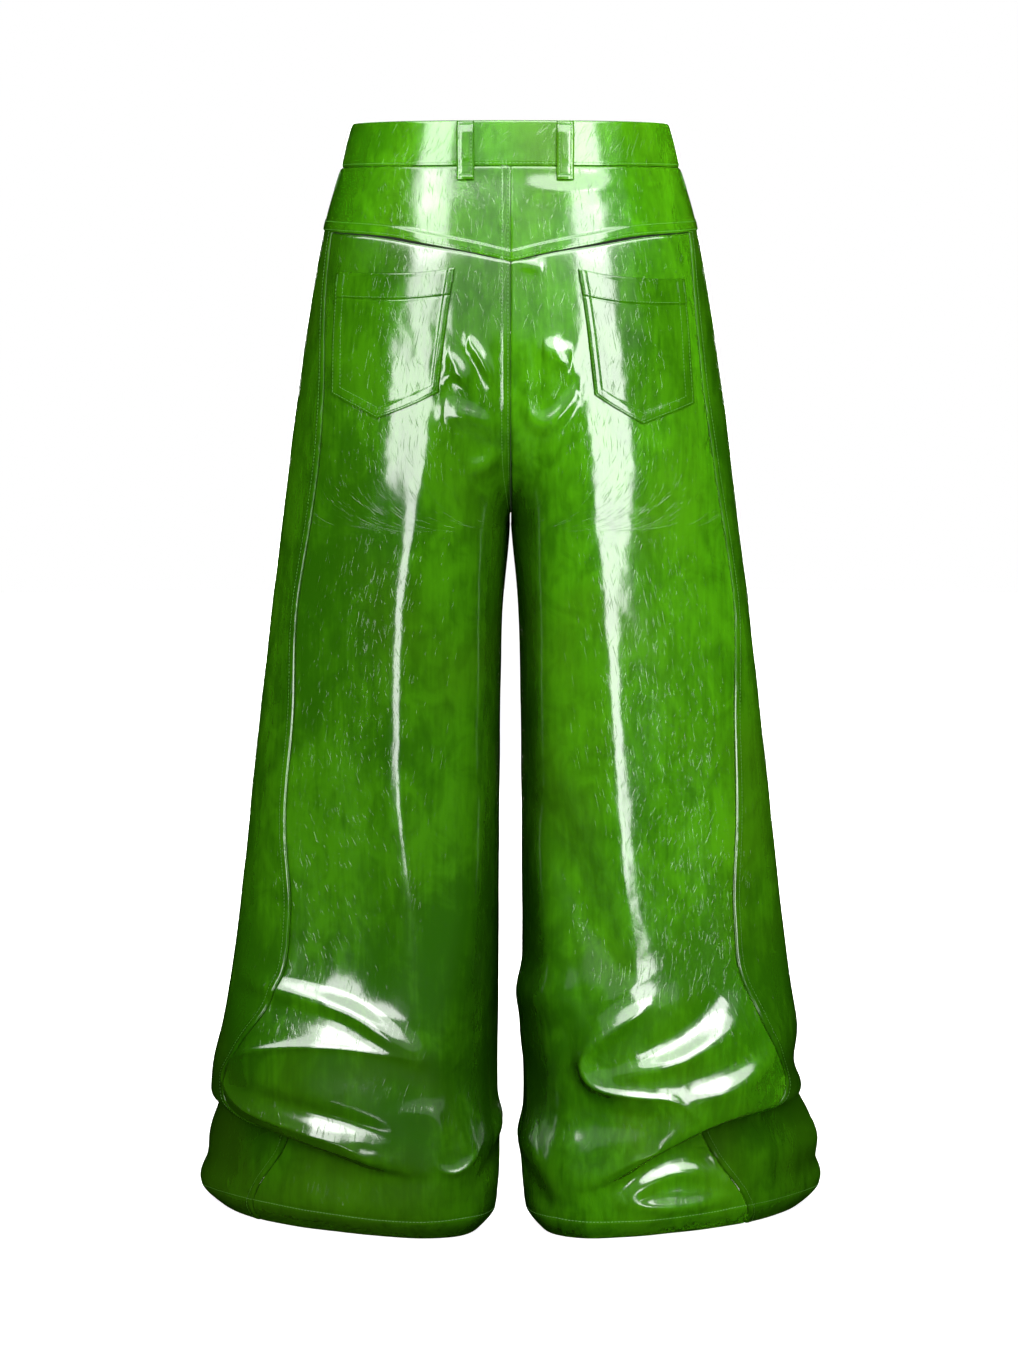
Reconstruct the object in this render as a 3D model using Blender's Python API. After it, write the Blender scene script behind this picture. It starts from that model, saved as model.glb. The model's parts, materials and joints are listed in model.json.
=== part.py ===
"""Wide-leg leather trousers, hollow, standing in the form they are worn in.

Metres, +Z up.  The origin is the middle of the waist opening at the level of the waistband's top edge.
The trousers' back faces -Y, their front +Y, and the wearer's right is +X.

Every cloth piece is a wall on one garment surface S(side, u, w), told piece by piece:
  u goes round one half: 0 at the centre back and the back of the inseam, 1/4 behind the leg,
    1/2 at the outermost line, 3/4 in front and 1 at the centre front and the front of the inseam;
  w is the way down from the waistband's top edge as it would be with no slack in the cloth.
The legs are longer than the wearer's, so the last quarter piles up on the floor in folds.
"""

import math

import bpy
import numpy as np

SHEET = 0.0014  # one thickness of leather
BAND_SHEET = 0.0026  # the waistband and the loops are folded double
SEAM_GAP = 0.0003  # daylight left between two pieces that are sewn together
BAND_DROP = 0.0400  # height of the waistband
BAND_PROUD = 0.0008  # how far the waistband's face stands out from the panels
HIP_DROP = 0.235  # where the crotch seam has become a plain centre seam
CROTCH_DROP = 0.367
JOINING = (0.520, 0.200)  # drops between which the outer cloth passes from leg tubes to body tube
FLOOR_DROP = 1.022
SLACK_DROP = 0.750  # the spare length of leg lies below this
HEM_HEIGHT = 0.025  # turned-up hem, two thicknesses
HEM_TURN = 0.42  # how much the leg rings are turned towards the floor, outer end forward
HEM_FORWARD = 0.012
SIDE_TOP = 0.442  # u of the side seam where it leaves the yoke
GIRTH = 0.80  # length of a leg ring, for widths across the cloth
HALF_GAP = SEAM_GAP / 2.0 / 0.62  # half of a seam's daylight as a part of u, for the narrowest ring
FRONT_WIDTH = 0.235  # metres of waist for one u near the centre front
LEATHER = dict(colour=(0.056, 0.225, 0.008, 1.0), roughness=0.22, metallic=0.0)
LEATHER_DARK = dict(colour=(0.030, 0.130, 0.005, 1.0), roughness=0.35, metallic=0.0)
STEEL = dict(colour=(0.55, 0.55, 0.53, 1.0), roughness=0.28, metallic=1.0)
TAPE = dict(colour=(0.020, 0.060, 0.010, 1.0), roughness=0.85, metallic=0.0)

# One half of the garment in horizontal section: outline, inseam and middle in x, then back and front
# depth in y, how square the ring is (2 is round), how far the flank outside the ridge falls in as a
# part of the depth, and how much squarer the ring is towards the inseam.
SECTION_COLUMNS = ("drop", "outer", "inner", "mid", "back", "front", "square", "flank", "boxy")
SECTIONS = np.array(
    [
        (0.000, 0.1455, -0.0200, 0.075, 0.100, 0.098, 2.15, 0.00, 0.0),
        (0.040, 0.1560, -0.0200, 0.080, 0.107, 0.101, 2.15, 0.00, 0.0),
        (0.070, 0.1655, -0.0200, 0.083, 0.116, 0.105, 2.15, 0.00, 0.0),
        (0.106, 0.1745, -0.0200, 0.088, 0.126, 0.109, 2.15, 0.00, 0.0),
        (0.143, 0.1815, -0.0200, 0.092, 0.133, 0.112, 2.15, 0.00, 0.0),
        (0.180, 0.1875, -0.0100, 0.095, 0.137, 0.115, 2.15, 0.00, 0.0),
        (0.245, 0.1975, 0.0000, 0.099, 0.137, 0.118, 2.15, 0.08, 0.0),
        (0.310, 0.2060, 0.0000, 0.102, 0.133, 0.118, 2.15, 0.18, 0.3),
        (0.367, 0.2125, 0.0003, 0.104, 0.128, 0.117, 2.15, 0.25, 0.8),
        (0.440, 0.2220, 0.0068, 0.106, 0.122, 0.114, 2.20, 0.28, 1.3),
        (0.515, 0.2310, 0.0090, 0.107, 0.118, 0.112, 2.20, 0.28, 1.6),
        (0.591, 0.2395, 0.0100, 0.107, 0.116, 0.110, 2.20, 0.28, 1.6),
        (0.666, 0.2475, 0.0105, 0.107, 0.115, 0.108, 2.20, 0.27, 1.5),
        (0.742, 0.2565, 0.0108, 0.110, 0.115, 0.107, 2.20, 0.21, 1.1),
        (0.819, 0.2675, 0.0112, 0.116, 0.116, 0.108, 2.20, 0.08, 0.4),
        (0.860, 0.2740, 0.0118, 0.122, 0.118, 0.110, 2.20, 0.02, 0.1),
        (0.900, 0.2780, 0.0118, 0.130, 0.119, 0.112, 2.20, 0.00, 0.0),
        (0.960, 0.2925, 0.0100, 0.140, 0.119, 0.115, 2.20, 0.00, 0.0),
        (0.985, 0.2945, 0.0115, 0.143, 0.119, 0.116, 2.15, 0.00, 0.0),
        (1.008, 0.2975, 0.0165, 0.145, 0.112, 0.114, 2.30, 0.00, 0.0),
        (1.022, 0.2775, 0.0290, 0.144, 0.099, 0.106, 2.60, 0.00, 0.0),
    ]
)

# The ridge that hangs from the seat down the back of each leg, as u.
RIDGE_COLUMNS = ("drop", "left", "right")
RIDGE = np.array(
    [
        (0.245, 0.226, 0.206),
        (0.300, 0.236, 0.218),
        (0.360, 0.243, 0.226),
        (0.430, 0.246, 0.227),
        (0.510, 0.245, 0.229),
        (0.590, 0.244, 0.239),
        (0.660, 0.236, 0.245),
        (0.720, 0.221, 0.248),
        (0.780, 0.206, 0.252),
        (0.860, 0.186, 0.255),
    ]
)
RIDGE_SOFT = 0.06  # rounding of the ridge, as a part of the flank
FRONT_RIDGE = 0.25  # the same in front, counted from the centre front

# The side seam runs behind the outermost line, a little differently on the two legs.
SIDE_COLUMNS = ("w", "left", "right")
SIDE_SEAM = np.array(
    [
        (0.0985, 0.442, 0.442),
        (0.1500, 0.430, 0.426),
        (0.2300, 0.411, 0.420),
        (0.3000, 0.403, 0.424),
        (0.3970, 0.394, 0.422),
        (0.5240, 0.381, 0.396),
        (0.6450, 0.390, 0.391),
        (0.7300, 0.376, 0.380),
        (0.7830, 0.380, 0.383),
        (0.8050, 0.392, 0.396),
        (0.8450, 0.428, 0.416),
        (0.8700, 0.436, 0.419),
        (0.8920, 0.418, 0.388),
        (0.9070, 0.376, 0.332),
        (0.9300, 0.352, 0.312),
        (0.9550, 0.352, 0.318),
        (0.9920, 0.373, 0.343),
        (1.0220, 0.382, 0.361),
    ]
)

# Lower edge of the yoke as u and drop: a V at the centre back, level at the side, rising to the
# waistband in front.
YOKE_EDGE = np.array(
    [
        (0.0000, 0.1256),
        (0.1300, 0.1180),
        (0.2570, 0.1097),
        (0.3180, 0.1042),
        (0.4420, 0.0990),
        (0.5000, 0.0968),
        (0.5600, 0.0850),
        (0.6100, 0.0620),
        (0.6449, 0.0445),
    ]
)

# The rolled fold above each cuff: the drop its lower edge hangs at and how far it stands out.
ROLL_COLUMNS = ("u", "edge", "bulge")
ROLLS = {
    "left": np.array(
        [
            (0.00, 0.935, 0.0000),
            (0.14, 0.960, 0.0000),
            (0.22, 0.955, 0.0035),
            (0.30, 0.940, 0.0090),
            (0.38, 0.925, 0.0100),
            (0.50, 0.914, 0.0055),
            (0.62, 0.930, 0.0080),
            (0.74, 0.945, 0.0065),
            (0.86, 0.955, 0.0010),
            (1.00, 0.935, 0.0000),
        ]
    ),
    "right": np.array(
        [
            (0.00, 0.950, 0.0000),
            (0.12, 0.975, 0.0000),
            (0.18, 0.966, 0.0030),
            (0.25, 0.940, 0.0085),
            (0.33, 0.916, 0.0115),
            (0.43, 0.909, 0.0090),
            (0.52, 0.904, 0.0055),
            (0.60, 0.915, 0.0070),
            (0.68, 0.930, 0.0080),
            (0.84, 0.950, 0.0020),
            (1.00, 0.950, 0.0000),
        ]
    ),
}
ROLL_REACH = 0.030  # cloth above and below a roll's edge that is drawn into it
# Cloth eaten by a roll, in reaches: that of a shallow wrinkle, and more for each metre of bulge.
ROLL_SLACK = (0.85, 50.0)

# Soft folds, each a curve through three places on the cloth; a height below zero is a trough.
# Columns: u and drop of the start, the middle and the end, then height and spread in metres.
FOLDS = {
    "left": np.array(
        [
            (0.38, 0.800, 0.30, 0.810, 0.20, 0.852, 0.0050, 0.0110),
            (0.20, 0.852, 0.31, 0.842, 0.43, 0.872, 0.0050, 0.0090),
            (0.44, 0.880, 0.33, 0.918, 0.24, 0.935, 0.0045, 0.0100),
            (0.38, 0.881, 0.22, 0.874, 0.02, 0.903, -0.0110, 0.0120),
            (0.21, 0.905, 0.15, 0.957, 0.06, 0.925, 0.0045, 0.0100),
            (0.10, 0.985, 0.05, 0.955, 0.00, 0.960, -0.0040, 0.0110),
            (0.15, 0.500, 0.17, 0.650, 0.15, 0.820, -0.0030, 0.0280),
            (0.138, 0.197, 0.10, 0.215, 0.06, 0.236, 0.0028, 0.0080),
            (0.21, 0.270, 0.14, 0.262, 0.06, 0.270, 0.0026, 0.0090),
            (0.15, 0.302, 0.10, 0.318, 0.05, 0.312, 0.0024, 0.0080),
            (0.19, 0.246, 0.13, 0.250, 0.07, 0.256, -0.0022, 0.0080),
            (0.43, 0.890, 0.50, 0.875, 0.60, 0.880, 0.0030, 0.0180),
            (0.00, 0.918, 0.02, 0.924, 0.05, 0.930, 0.0045, 0.0090),
            (1.00, 0.918, 0.98, 0.924, 0.95, 0.930, 0.0045, 0.0090),
            (0.60, 0.840, 0.74, 0.870, 0.90, 0.850, 0.0050, 0.0140),
            (0.58, 0.890, 0.72, 0.905, 0.92, 0.880, -0.0080, 0.0130),
            (0.78, 0.300, 0.74, 0.520, 0.76, 0.800, 0.0040, 0.0220),
            (0.86, 0.300, 0.88, 0.340, 0.96, 0.350, 0.0030, 0.0120),
        ]
    ),
    "right": np.array(
        [
            (0.26, 0.808, 0.19, 0.838, 0.18, 0.862, 0.0060, 0.0085),
            (0.18, 0.862, 0.21, 0.882, 0.29, 0.896, 0.0060, 0.0080),
            (0.20, 0.868, 0.29, 0.858, 0.37, 0.826, 0.0035, 0.0080),
            (0.30, 0.892, 0.36, 0.884, 0.42, 0.856, 0.0040, 0.0080),
            (0.24, 0.850, 0.30, 0.832, 0.36, 0.800, -0.0045, 0.0090),
            (0.29, 0.876, 0.35, 0.864, 0.41, 0.836, -0.0035, 0.0080),
            (0.28, 0.906, 0.16, 0.908, 0.02, 0.930, -0.0090, 0.0120),
            (0.13, 0.560, 0.19, 0.690, 0.255, 0.800, -0.0060, 0.0130),
            (0.36, 0.945, 0.43, 0.960, 0.50, 0.950, 0.0080, 0.0180),
            (0.31, 0.940, 0.31, 0.958, 0.33, 0.975, -0.0040, 0.0080),
            (0.21, 0.978, 0.27, 0.968, 0.33, 0.985, 0.0030, 0.0090),
            (0.107, 0.200, 0.15, 0.205, 0.20, 0.214, 0.0028, 0.0090),
            (0.064, 0.262, 0.124, 0.268, 0.20, 0.242, 0.0026, 0.0080),
            (0.09, 0.240, 0.14, 0.238, 0.19, 0.226, -0.0022, 0.0080),
            (0.02, 0.960, 0.06, 0.972, 0.10, 0.995, -0.0045, 0.0110),
            (0.42, 0.885, 0.50, 0.880, 0.60, 0.885, -0.0120, 0.0190),
            (0.00, 0.945, 0.03, 0.940, 0.08, 0.930, 0.0050, 0.0120),
            (1.00, 0.945, 0.97, 0.940, 0.92, 0.930, 0.0050, 0.0120),
            (0.62, 0.835, 0.75, 0.862, 0.90, 0.845, 0.0050, 0.0140),
            (0.60, 0.885, 0.74, 0.900, 0.93, 0.885, -0.0080, 0.0130),
            (0.77, 0.300, 0.75, 0.540, 0.74, 0.800, 0.0040, 0.0220),
            (0.86, 0.300, 0.88, 0.340, 0.96, 0.350, 0.0030, 0.0120),
        ]
    ),
}

# Corners of a back pocket on the cloth, as u and drop, going round from the top inner one:
# top inner, top outer, outer foot, point, inner foot.
POCKETS = {
    "left": np.array(
        [(0.183, 0.1316), (0.405, 0.1353), (0.392, 0.2449), (0.319, 0.2663), (0.214, 0.2423)]
    ),
    "right": np.array(
        [(0.211, 0.1325), (0.403, 0.1418), (0.398, 0.2538), (0.318, 0.2714), (0.238, 0.2448)]
    ),
}
LOOP_WIDTH = 0.0155
LOOP_LENGTH = 0.0530
LOOP_STANDOFF = 0.0022
BACK_LOOPS = {"left": (0.189, 0.1755), "right": (0.218, 0.203)}
FRONT_LOOPS = {"left": (0.740, 0.746), "right": (0.740, 0.746)}
OVERLAP = 0.030  # how far the waistband's upper end passes the centre front
BUTTON_RADIUS = 0.0085
FLY_LENGTH = 0.150
SIDES = {"left": -1.0, "right": 1.0}


def clear_scene():
    """Take away whatever the new file holds."""
    for thing in list(bpy.data.objects):
        bpy.data.objects.remove(thing, do_unlink=True)


def ease(value):
    """Smooth step from 0 to 1 with level ends."""
    value = np.clip(value, 0.0, 1.0)
    return value * value * (3.0 - 2.0 * value)


def smooth_column(at, knots, values):
    """A smooth curve through a table's column, level beyond its ends."""
    slopes = np.gradient(values, knots)
    at = np.clip(at, knots[0], knots[-1])
    index = np.clip(np.searchsorted(knots, at, side="right") - 1, 0, len(knots) - 2)
    step = knots[index + 1] - knots[index]
    part = (at - knots[index]) / step
    rest = 1.0 - part
    return (
        (1.0 + 2.0 * part) * rest**2 * values[index]
        + part * rest**2 * step * slopes[index]
        + part**2 * (3.0 - 2.0 * part) * values[index + 1]
        - part**2 * rest * step * slopes[index + 1]
    )


def section(name, drop):
    """One column of the section table at these drops."""
    return smooth_column(drop, SECTIONS[:, 0], SECTIONS[:, SECTION_COLUMNS.index(name)])


def side_seam(side, w):
    """u of the side seam."""
    return smooth_column(w, SIDE_SEAM[:, 0], SIDE_SEAM[:, SIDE_COLUMNS.index(side)])


def yoke_edge(u):
    """Drop of the yoke's lower edge."""
    return smooth_column(u, YOKE_EDGE[:, 0], YOKE_EDGE[:, 1])


def roll(side, name, u):
    """One column of a leg's roll table."""
    table = ROLLS[side]
    return smooth_column(u, table[:, 0], table[:, ROLL_COLUMNS.index(name)])


def flank(side, u, drop):
    """How far across the flank a place is: 0 inside the ridges, 1 at the outermost line, level there."""
    ridge = smooth_column(drop, RIDGE[:, 0], RIDGE[:, RIDGE_COLUMNS.index(side)])
    across = np.minimum((u - ridge) / (0.5 - ridge), (1.0 - FRONT_RIDGE - u) / (0.5 - FRONT_RIDGE))
    part = np.minimum((across + np.sqrt(across**2 + RIDGE_SOFT**2)) / 2.0, 1.0)
    return part * (2.0 - part)


def leg_ring(side, u, drop):
    """x and y on a leg's ring, a superellipse whose four quarters each have their own reach."""
    angle = 2.0 * math.pi * u
    cosine, sine = np.cos(angle), np.sin(angle)
    mid = section("mid", drop)
    inwards = mid - section("inner", drop)
    outwards = section("outer", drop) - mid
    across = outwards + (inwards - outwards) * ease(cosine + 0.5)
    front = section("front", drop)
    deep = front + (section("back", drop) - front) * ease(sine + 0.5)
    power = section("square", drop) + section("boxy", drop) * ease(1.5 * cosine)
    reach = ((np.abs(cosine) / across) ** power + (np.abs(sine) / deep) ** power) ** (-1.0 / power)
    fallen = 1.0 - section("flank", drop) * flank(side, u, drop)
    return mid - reach * cosine, -reach * sine * fallen


def body_ring(u, drop):
    """x and y on half of the body's ring, from the centre back round the side to the centre front."""
    angle = math.pi * (u - 0.07 * np.sin(2.0 * math.pi * u))
    sine, cosine = np.sin(angle), np.cos(angle)
    front = section("front", drop)
    deep = front + (section("back", drop) - front) * ease(cosine + 0.5)
    power = 2.1
    wide = section("outer", drop)
    reach = ((np.abs(sine) / wide) ** power + (np.abs(cosine) / deep) ** power) ** (-1.0 / power)
    return reach * sine, -reach * cosine


def ring(side, u, drop):
    """x and y on the garment's section: two leg tubes that grow into one body tube above the crotch.

    At the centre seam the change follows a quarter circle, so the crotch seam hangs as a round curve;
    away from it the change is slow and smooth.
    """
    rise = np.clip((CROTCH_DROP - drop) / (CROTCH_DROP - HIP_DROP), 0.0, 1.0)
    round_seam = np.sqrt(rise * (2.0 - rise))
    slow = ease((JOINING[0] - drop) / (JOINING[0] - JOINING[1]))
    near = ease(1.0 - np.minimum(u, 1.0 - u) / 0.16)
    joined = slow + (round_seam - slow) * near
    leg_x, leg_y = leg_ring(side, u, drop)
    body_x, body_y = body_ring(u, drop)
    x = (1.0 - joined) * leg_x + joined * body_x
    y = (1.0 - joined) * leg_y + joined * body_y
    turn = ease((drop - 0.80) / 0.20)
    return x, y + turn * (HEM_TURN * (x - 0.146) + HEM_FORWARD)


def fold_height(side, u, drop):
    """Sum of the soft folds: each is a bell across its curve that dies away at both ends."""
    total = np.zeros_like(u)
    for u0, drop0, u1, drop1, u2, drop2, height, spread in FOLDS[side]:
        part = np.linspace(0.0, 1.0, 9)
        curve_u = (1 - part) ** 2 * u0 + 2 * part * (1 - part) * (2 * u1 - (u0 + u2) / 2) + part**2 * u2
        middle = 2 * drop1 - (drop0 + drop2) / 2
        curve_d = (1 - part) ** 2 * drop0 + 2 * part * (1 - part) * middle + part**2 * drop2
        best = np.full(u.shape, 9.0)
        along = np.zeros(u.shape)
        for k in range(len(part) - 1):
            way = np.array([(curve_u[k + 1] - curve_u[k]) * GIRTH, curve_d[k + 1] - curve_d[k]])
            off_u, off_d = (u - curve_u[k]) * GIRTH, drop - curve_d[k]
            t = np.clip((off_u * way[0] + off_d * way[1]) / (way @ way), 0.0, 1.0)
            far = (off_u - t * way[0]) ** 2 + (off_d - t * way[1]) ** 2
            along = np.where(far < best, part[k] + t * (part[1] - part[0]), along)
            best = np.minimum(best, far)
        taper = np.sqrt(np.clip(np.sin(math.pi * np.clip(along, 0.02, 0.98)), 0.0, 1.0))
        total += height * taper * np.exp(-best / (2.0 * spread**2))
    return total


def surface(side, u, w):
    """Points of the garment surface; the arrays u and w have one shape."""
    u, w = np.broadcast_arrays(np.asarray(u, float), np.asarray(w, float))
    bulge = roll(side, "bulge", u)
    slack = ROLL_REACH * (ROLL_SLACK[0] + ROLL_SLACK[1] * bulge)
    cloth = w + np.clip(w - SLACK_DROP, 0.0, None) * slack / (FLOOR_DROP - SLACK_DROP)
    pull = (cloth - roll(side, "edge", u) - slack / 2.0) / ROLL_REACH
    drop = cloth - slack * ease((pull + 1.0) / 2.0)
    bell = -bulge * pull * np.exp(0.5 * (1.0 - pull**2))
    height = bell + fold_height(side, u, drop)
    x, y = ring(side, u, drop)
    before_x, before_y = ring(side, u - 1e-4, drop)
    after_x, after_y = ring(side, u + 1e-4, drop)
    way_x, way_y = after_x - before_x, after_y - before_y
    length = np.hypot(way_x, way_y)
    x = x + height * way_y / length + SEAM_GAP / 2.0
    y = y - height * way_x / length
    return np.stack([x * SIDES[side], y, -drop], axis=-1)


def stretch(side, u, w):
    """Metres across the cloth for one whole u, at these places."""
    step = 1e-3
    way = surface(side, u + step, w) - surface(side, u - step, w)
    return np.linalg.norm(way, axis=-1) / (2.0 * step)


def outward(side, u, w):
    """Unit normals of the garment surface, pointing out of the hollow."""
    step = 4e-4
    across = surface(side, u + step, w) - surface(side, u - step, w)
    down = surface(side, u, w + step) - surface(side, u, w - step)
    normal = np.cross(across, down) * -SIDES[side]
    return normal / np.linalg.norm(normal, axis=-1, keepdims=True)


def lifted(side, u, w, lift):
    """Points of the garment surface moved out by lift."""
    u, w = np.broadcast_arrays(np.asarray(u, float), np.asarray(w, float))
    lift = np.broadcast_to(lift, u.shape)
    return surface(side, u, w) + outward(side, u, w) * lift[..., None]


def make_material(name, colour, roughness, metallic):
    """A plain Principled material."""
    material = bpy.data.materials.get(name)
    if material:
        return material
    material = bpy.data.materials.new(name)
    material.use_nodes = True
    shader = material.node_tree.nodes["Principled BSDF"]
    shader.inputs["Base Color"].default_value = colour
    shader.inputs["Roughness"].default_value = roughness
    shader.inputs["Metallic"].default_value = metallic
    return material


def add_mesh(name, points, faces, material_name, finish):
    """A named mesh object with one material."""
    mesh = bpy.data.meshes.new(name)
    mesh.from_pydata([tuple(p) for p in points], [], [tuple(int(i) for i in f) for f in faces])
    mesh.materials.append(make_material(material_name, **finish))
    mesh.polygons.foreach_set("use_smooth", [True] * len(mesh.polygons))
    mesh.update()
    thing = bpy.data.objects.new(name, mesh)
    bpy.context.scene.collection.objects.link(thing)
    return thing


def wall(name, outer, inner, material_name, finish):
    """A closed body between two point grids of one shape, joined round their edges."""
    rows, columns = outer.shape[:2]
    number = np.arange(rows * columns).reshape(rows, columns)
    quads = np.stack([number[:-1, :-1], number[1:, :-1], number[1:, 1:], number[:-1, 1:]], axis=-1)
    quads = quads.reshape(-1, 4)
    shift = rows * columns
    border = np.concatenate([number[0, :-1], number[:-1, -1], number[-1, :0:-1], number[:0:-1, 0]])
    following = np.roll(border, -1)
    rising = np.arange(len(border)) < columns + rows - 2
    first = np.stack([border, following, np.where(rising, following, border) + shift], axis=-1)
    second = np.stack([np.where(rising, border, following), following + shift, border + shift], axis=-1)
    points = np.concatenate([outer.reshape(-1, 3), inner.reshape(-1, 3)])
    faces = [quads, quads[:, ::-1] + shift, first, second]
    middle = outer[rows // 2, columns // 2]
    down = outer[rows // 2 + 1, columns // 2] - middle
    along = outer[rows // 2, columns // 2 + 1] - middle
    if np.dot(np.cross(down, along), middle - inner[rows // 2, columns // 2]) < 0:
        faces = [group[:, ::-1] for group in faces]
    faces = [face for group in faces for face in group]
    return add_mesh(name, points, faces, material_name, finish)


def leg_rows():
    """w of the rows down a leg, close together where the cloth bends most."""
    parts = [
        np.linspace(0.0, HIP_DROP, 8)[:-1],
        CROTCH_DROP - (CROTCH_DROP - HIP_DROP) * np.linspace(1.0, 0.0, 8) ** 1.6,
        np.linspace(CROTCH_DROP, SLACK_DROP, 9)[1:],
        np.linspace(SLACK_DROP, 0.870, 10)[1:],
        np.linspace(0.870, 1.010, 25)[1:],
        np.array([1.016, FLOOR_DROP]),
    ]
    return np.concatenate(parts)


def panel_rows(top_w):
    """Rows from a panel's top edge down, level again from the hip on."""
    rows = leg_rows()
    rows = rows[rows >= 0.10]
    level = rows[None, :] * np.ones((len(top_w), 1))
    hip = 0.300
    share = np.clip((hip - level) / (hip - rows[0]), 0.0, 1.0)
    start = (top_w - rows[0])[:, None]
    return (level + start * share).T


def back_panel(side):
    """One back panel, from the yoke to the floor and from the centre back to the side seam."""
    share = np.linspace(0.0, 1.0, 14)
    top = yoke_edge(SIDE_TOP * share) + SEAM_GAP / 2.0
    w = panel_rows(top)
    low, high = HALF_GAP * (w > CROTCH_DROP - 0.01), side_seam(side, w) - HALF_GAP
    u = low + (high - low) * share[None, :]
    return leg_wall("back_" + side, side, u, w)


def front_panel(side):
    """One front panel, from the waistband and the yoke's front edge to the floor."""
    share = np.linspace(0.0, 1.0, 12)
    top_u = SIDE_TOP + (1.0 - SIDE_TOP) * share
    top = np.where(share < 0.40, yoke_edge(top_u) + SEAM_GAP / 2.0, BAND_DROP + SEAM_GAP)
    w = panel_rows(top)
    low, high = side_seam(side, w) + HALF_GAP, 1.0 - HALF_GAP * (w > CROTCH_DROP - 0.01)
    u = low + (high - low) * share[None, :]
    return leg_wall("front_" + side, side, u, w)


def leg_wall(name, side, u, w):
    """A panel's wall, twice as thick below the hem's stitching."""
    deep = -SHEET * (1.0 + ease((w - FLOOR_DROP + HEM_HEIGHT + 0.004) / 0.004))
    return wall(name, lifted(side, u, w, 0.0), lifted(side, u, w, deep), "leather", LEATHER)


def yoke(side):
    """The yoke, from the centre back round the side to where its edge meets the waistband in front."""
    back_u = SIDE_TOP * np.linspace(0.0, 1.0, 14)
    front_u = SIDE_TOP + (1.0 - SIDE_TOP) * np.linspace(0.0, 1.0, 12)[1:5]
    u = np.concatenate([back_u, front_u])[None, :]
    low = BAND_DROP + SEAM_GAP
    high = yoke_edge(u) - SEAM_GAP / 2.0
    w = low + (high - low) * np.linspace(0.0, 1.0, 6)[:, None]
    u = np.broadcast_to(u, w.shape)
    outer, inner = lifted(side, u, w, 0.0), lifted(side, u, w, -SHEET)
    return wall("yoke_" + side, outer, inner, "leather", LEATHER)


def band_point(turn, w, lift):
    """A point of the waistband; turn goes from the left front round the back to the right front."""
    across = np.where(np.abs(turn) > 1.0, 2.0 - np.abs(turn), np.abs(turn))
    on_right = np.where(np.abs(turn) > 1.0, turn < 0.0, turn >= 0.0)
    right = lifted("right", across, w, lift)
    left = lifted("left", across, w, lift)
    points = np.where(on_right[..., None], right, left)
    points[..., 0] -= np.where(on_right, 1.0, -1.0) * SEAM_GAP / 2.0
    return points


def waistband():
    """The waistband, one strip whose left end passes over the right one at the centre front."""
    end = OVERLAP / FRONT_WIDTH
    turn = np.concatenate([np.linspace(-1.0 - end, -0.80, 9), np.linspace(-0.80, 0.985, 42)[1:]])
    w = np.array([0.0008, 0.0, 0.010, 0.020, 0.030, 0.0390, BAND_DROP - SEAM_GAP / 2.0])
    step_out = (BAND_SHEET + SEAM_GAP) * ease((-turn - 0.88) / 0.10)
    turn, w = np.meshgrid(turn, w)
    proud = BAND_PROUD + step_out[None, :]
    rounding = np.zeros_like(w)
    rounding[0], rounding[-1] = 0.0006, 0.0004
    outer = band_point(turn, w, proud - rounding)
    inner = band_point(turn, w, proud - BAND_SHEET + rounding)
    return wall("waistband", outer, inner, "leather", LEATHER)


def back_pocket(side):
    """A patch pocket with a pointed foot, lying on the back panel."""
    corners = POCKETS[side]
    inner_top, outer_top, outer_low, point, inner_low = corners
    across = np.array([0.0, 0.03, 0.14, 0.26, 0.38, 0.50, 0.62, 0.74, 0.86, 0.97, 1.0])
    top = inner_top + (outer_top - inner_top) * across[:, None]
    top[:, 1] += 0.003 * np.sin(math.pi * across)
    tip = (point[0] - inner_low[0]) / (outer_low[0] - inner_low[0])
    foot_share = across[:, None]
    foot = inner_low + (outer_low - inner_low) * foot_share
    drop_in = inner_low[1] + (point[1] - inner_low[1]) * np.clip(across / tip, 0.0, 1.0)
    drop_out = outer_low[1] + (point[1] - outer_low[1]) * np.clip((1 - across) / (1 - tip), 0.0, 1.0)
    foot[:, 1] = np.minimum(drop_in, drop_out)
    down = np.linspace(0.0, 1.0, 11)[:, None, None]
    grid = top[None] + (foot - top)[None] * down
    base = SEAM_GAP + 0.0001
    outer = lifted(side, grid[..., 0], grid[..., 1], base + SHEET)
    inner = lifted(side, grid[..., 0], grid[..., 1], base)
    return wall("back_pocket_" + side, outer, inner, "leather", LEATHER)


def belt_loop(name, side, top_u, low_u):
    """A belt loop: a folded strap held at both ends and standing off the band between them."""
    down = np.array([0.0, 0.02, 0.10, 0.20, 0.32, 0.44, 0.56, 0.68, 0.80, 0.90, 0.98, 1.0])[:, None]
    across = np.linspace(-0.5, 0.5, 5)[None, :]
    w = 0.0004 + LOOP_LENGTH * down + 0.0 * across
    middle = top_u + (low_u - top_u) * down
    u = middle + across * LOOP_WIDTH / stretch(side, middle, w[:, :1])
    standoff = LOOP_STANDOFF * ease(down / 0.25) * ease((0.80 - down) / 0.25)
    base = BAND_PROUD + SEAM_GAP + 0.0001 + standoff
    crown = 0.0005 * (1.0 - (2.0 * across) ** 4)
    outer = lifted(side, u, w, base + BAND_SHEET - 0.0005 + crown)
    inner = lifted(side, u, w, base + 0.0 * across)
    return wall(name, outer, inner, "leather", LEATHER)


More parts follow.
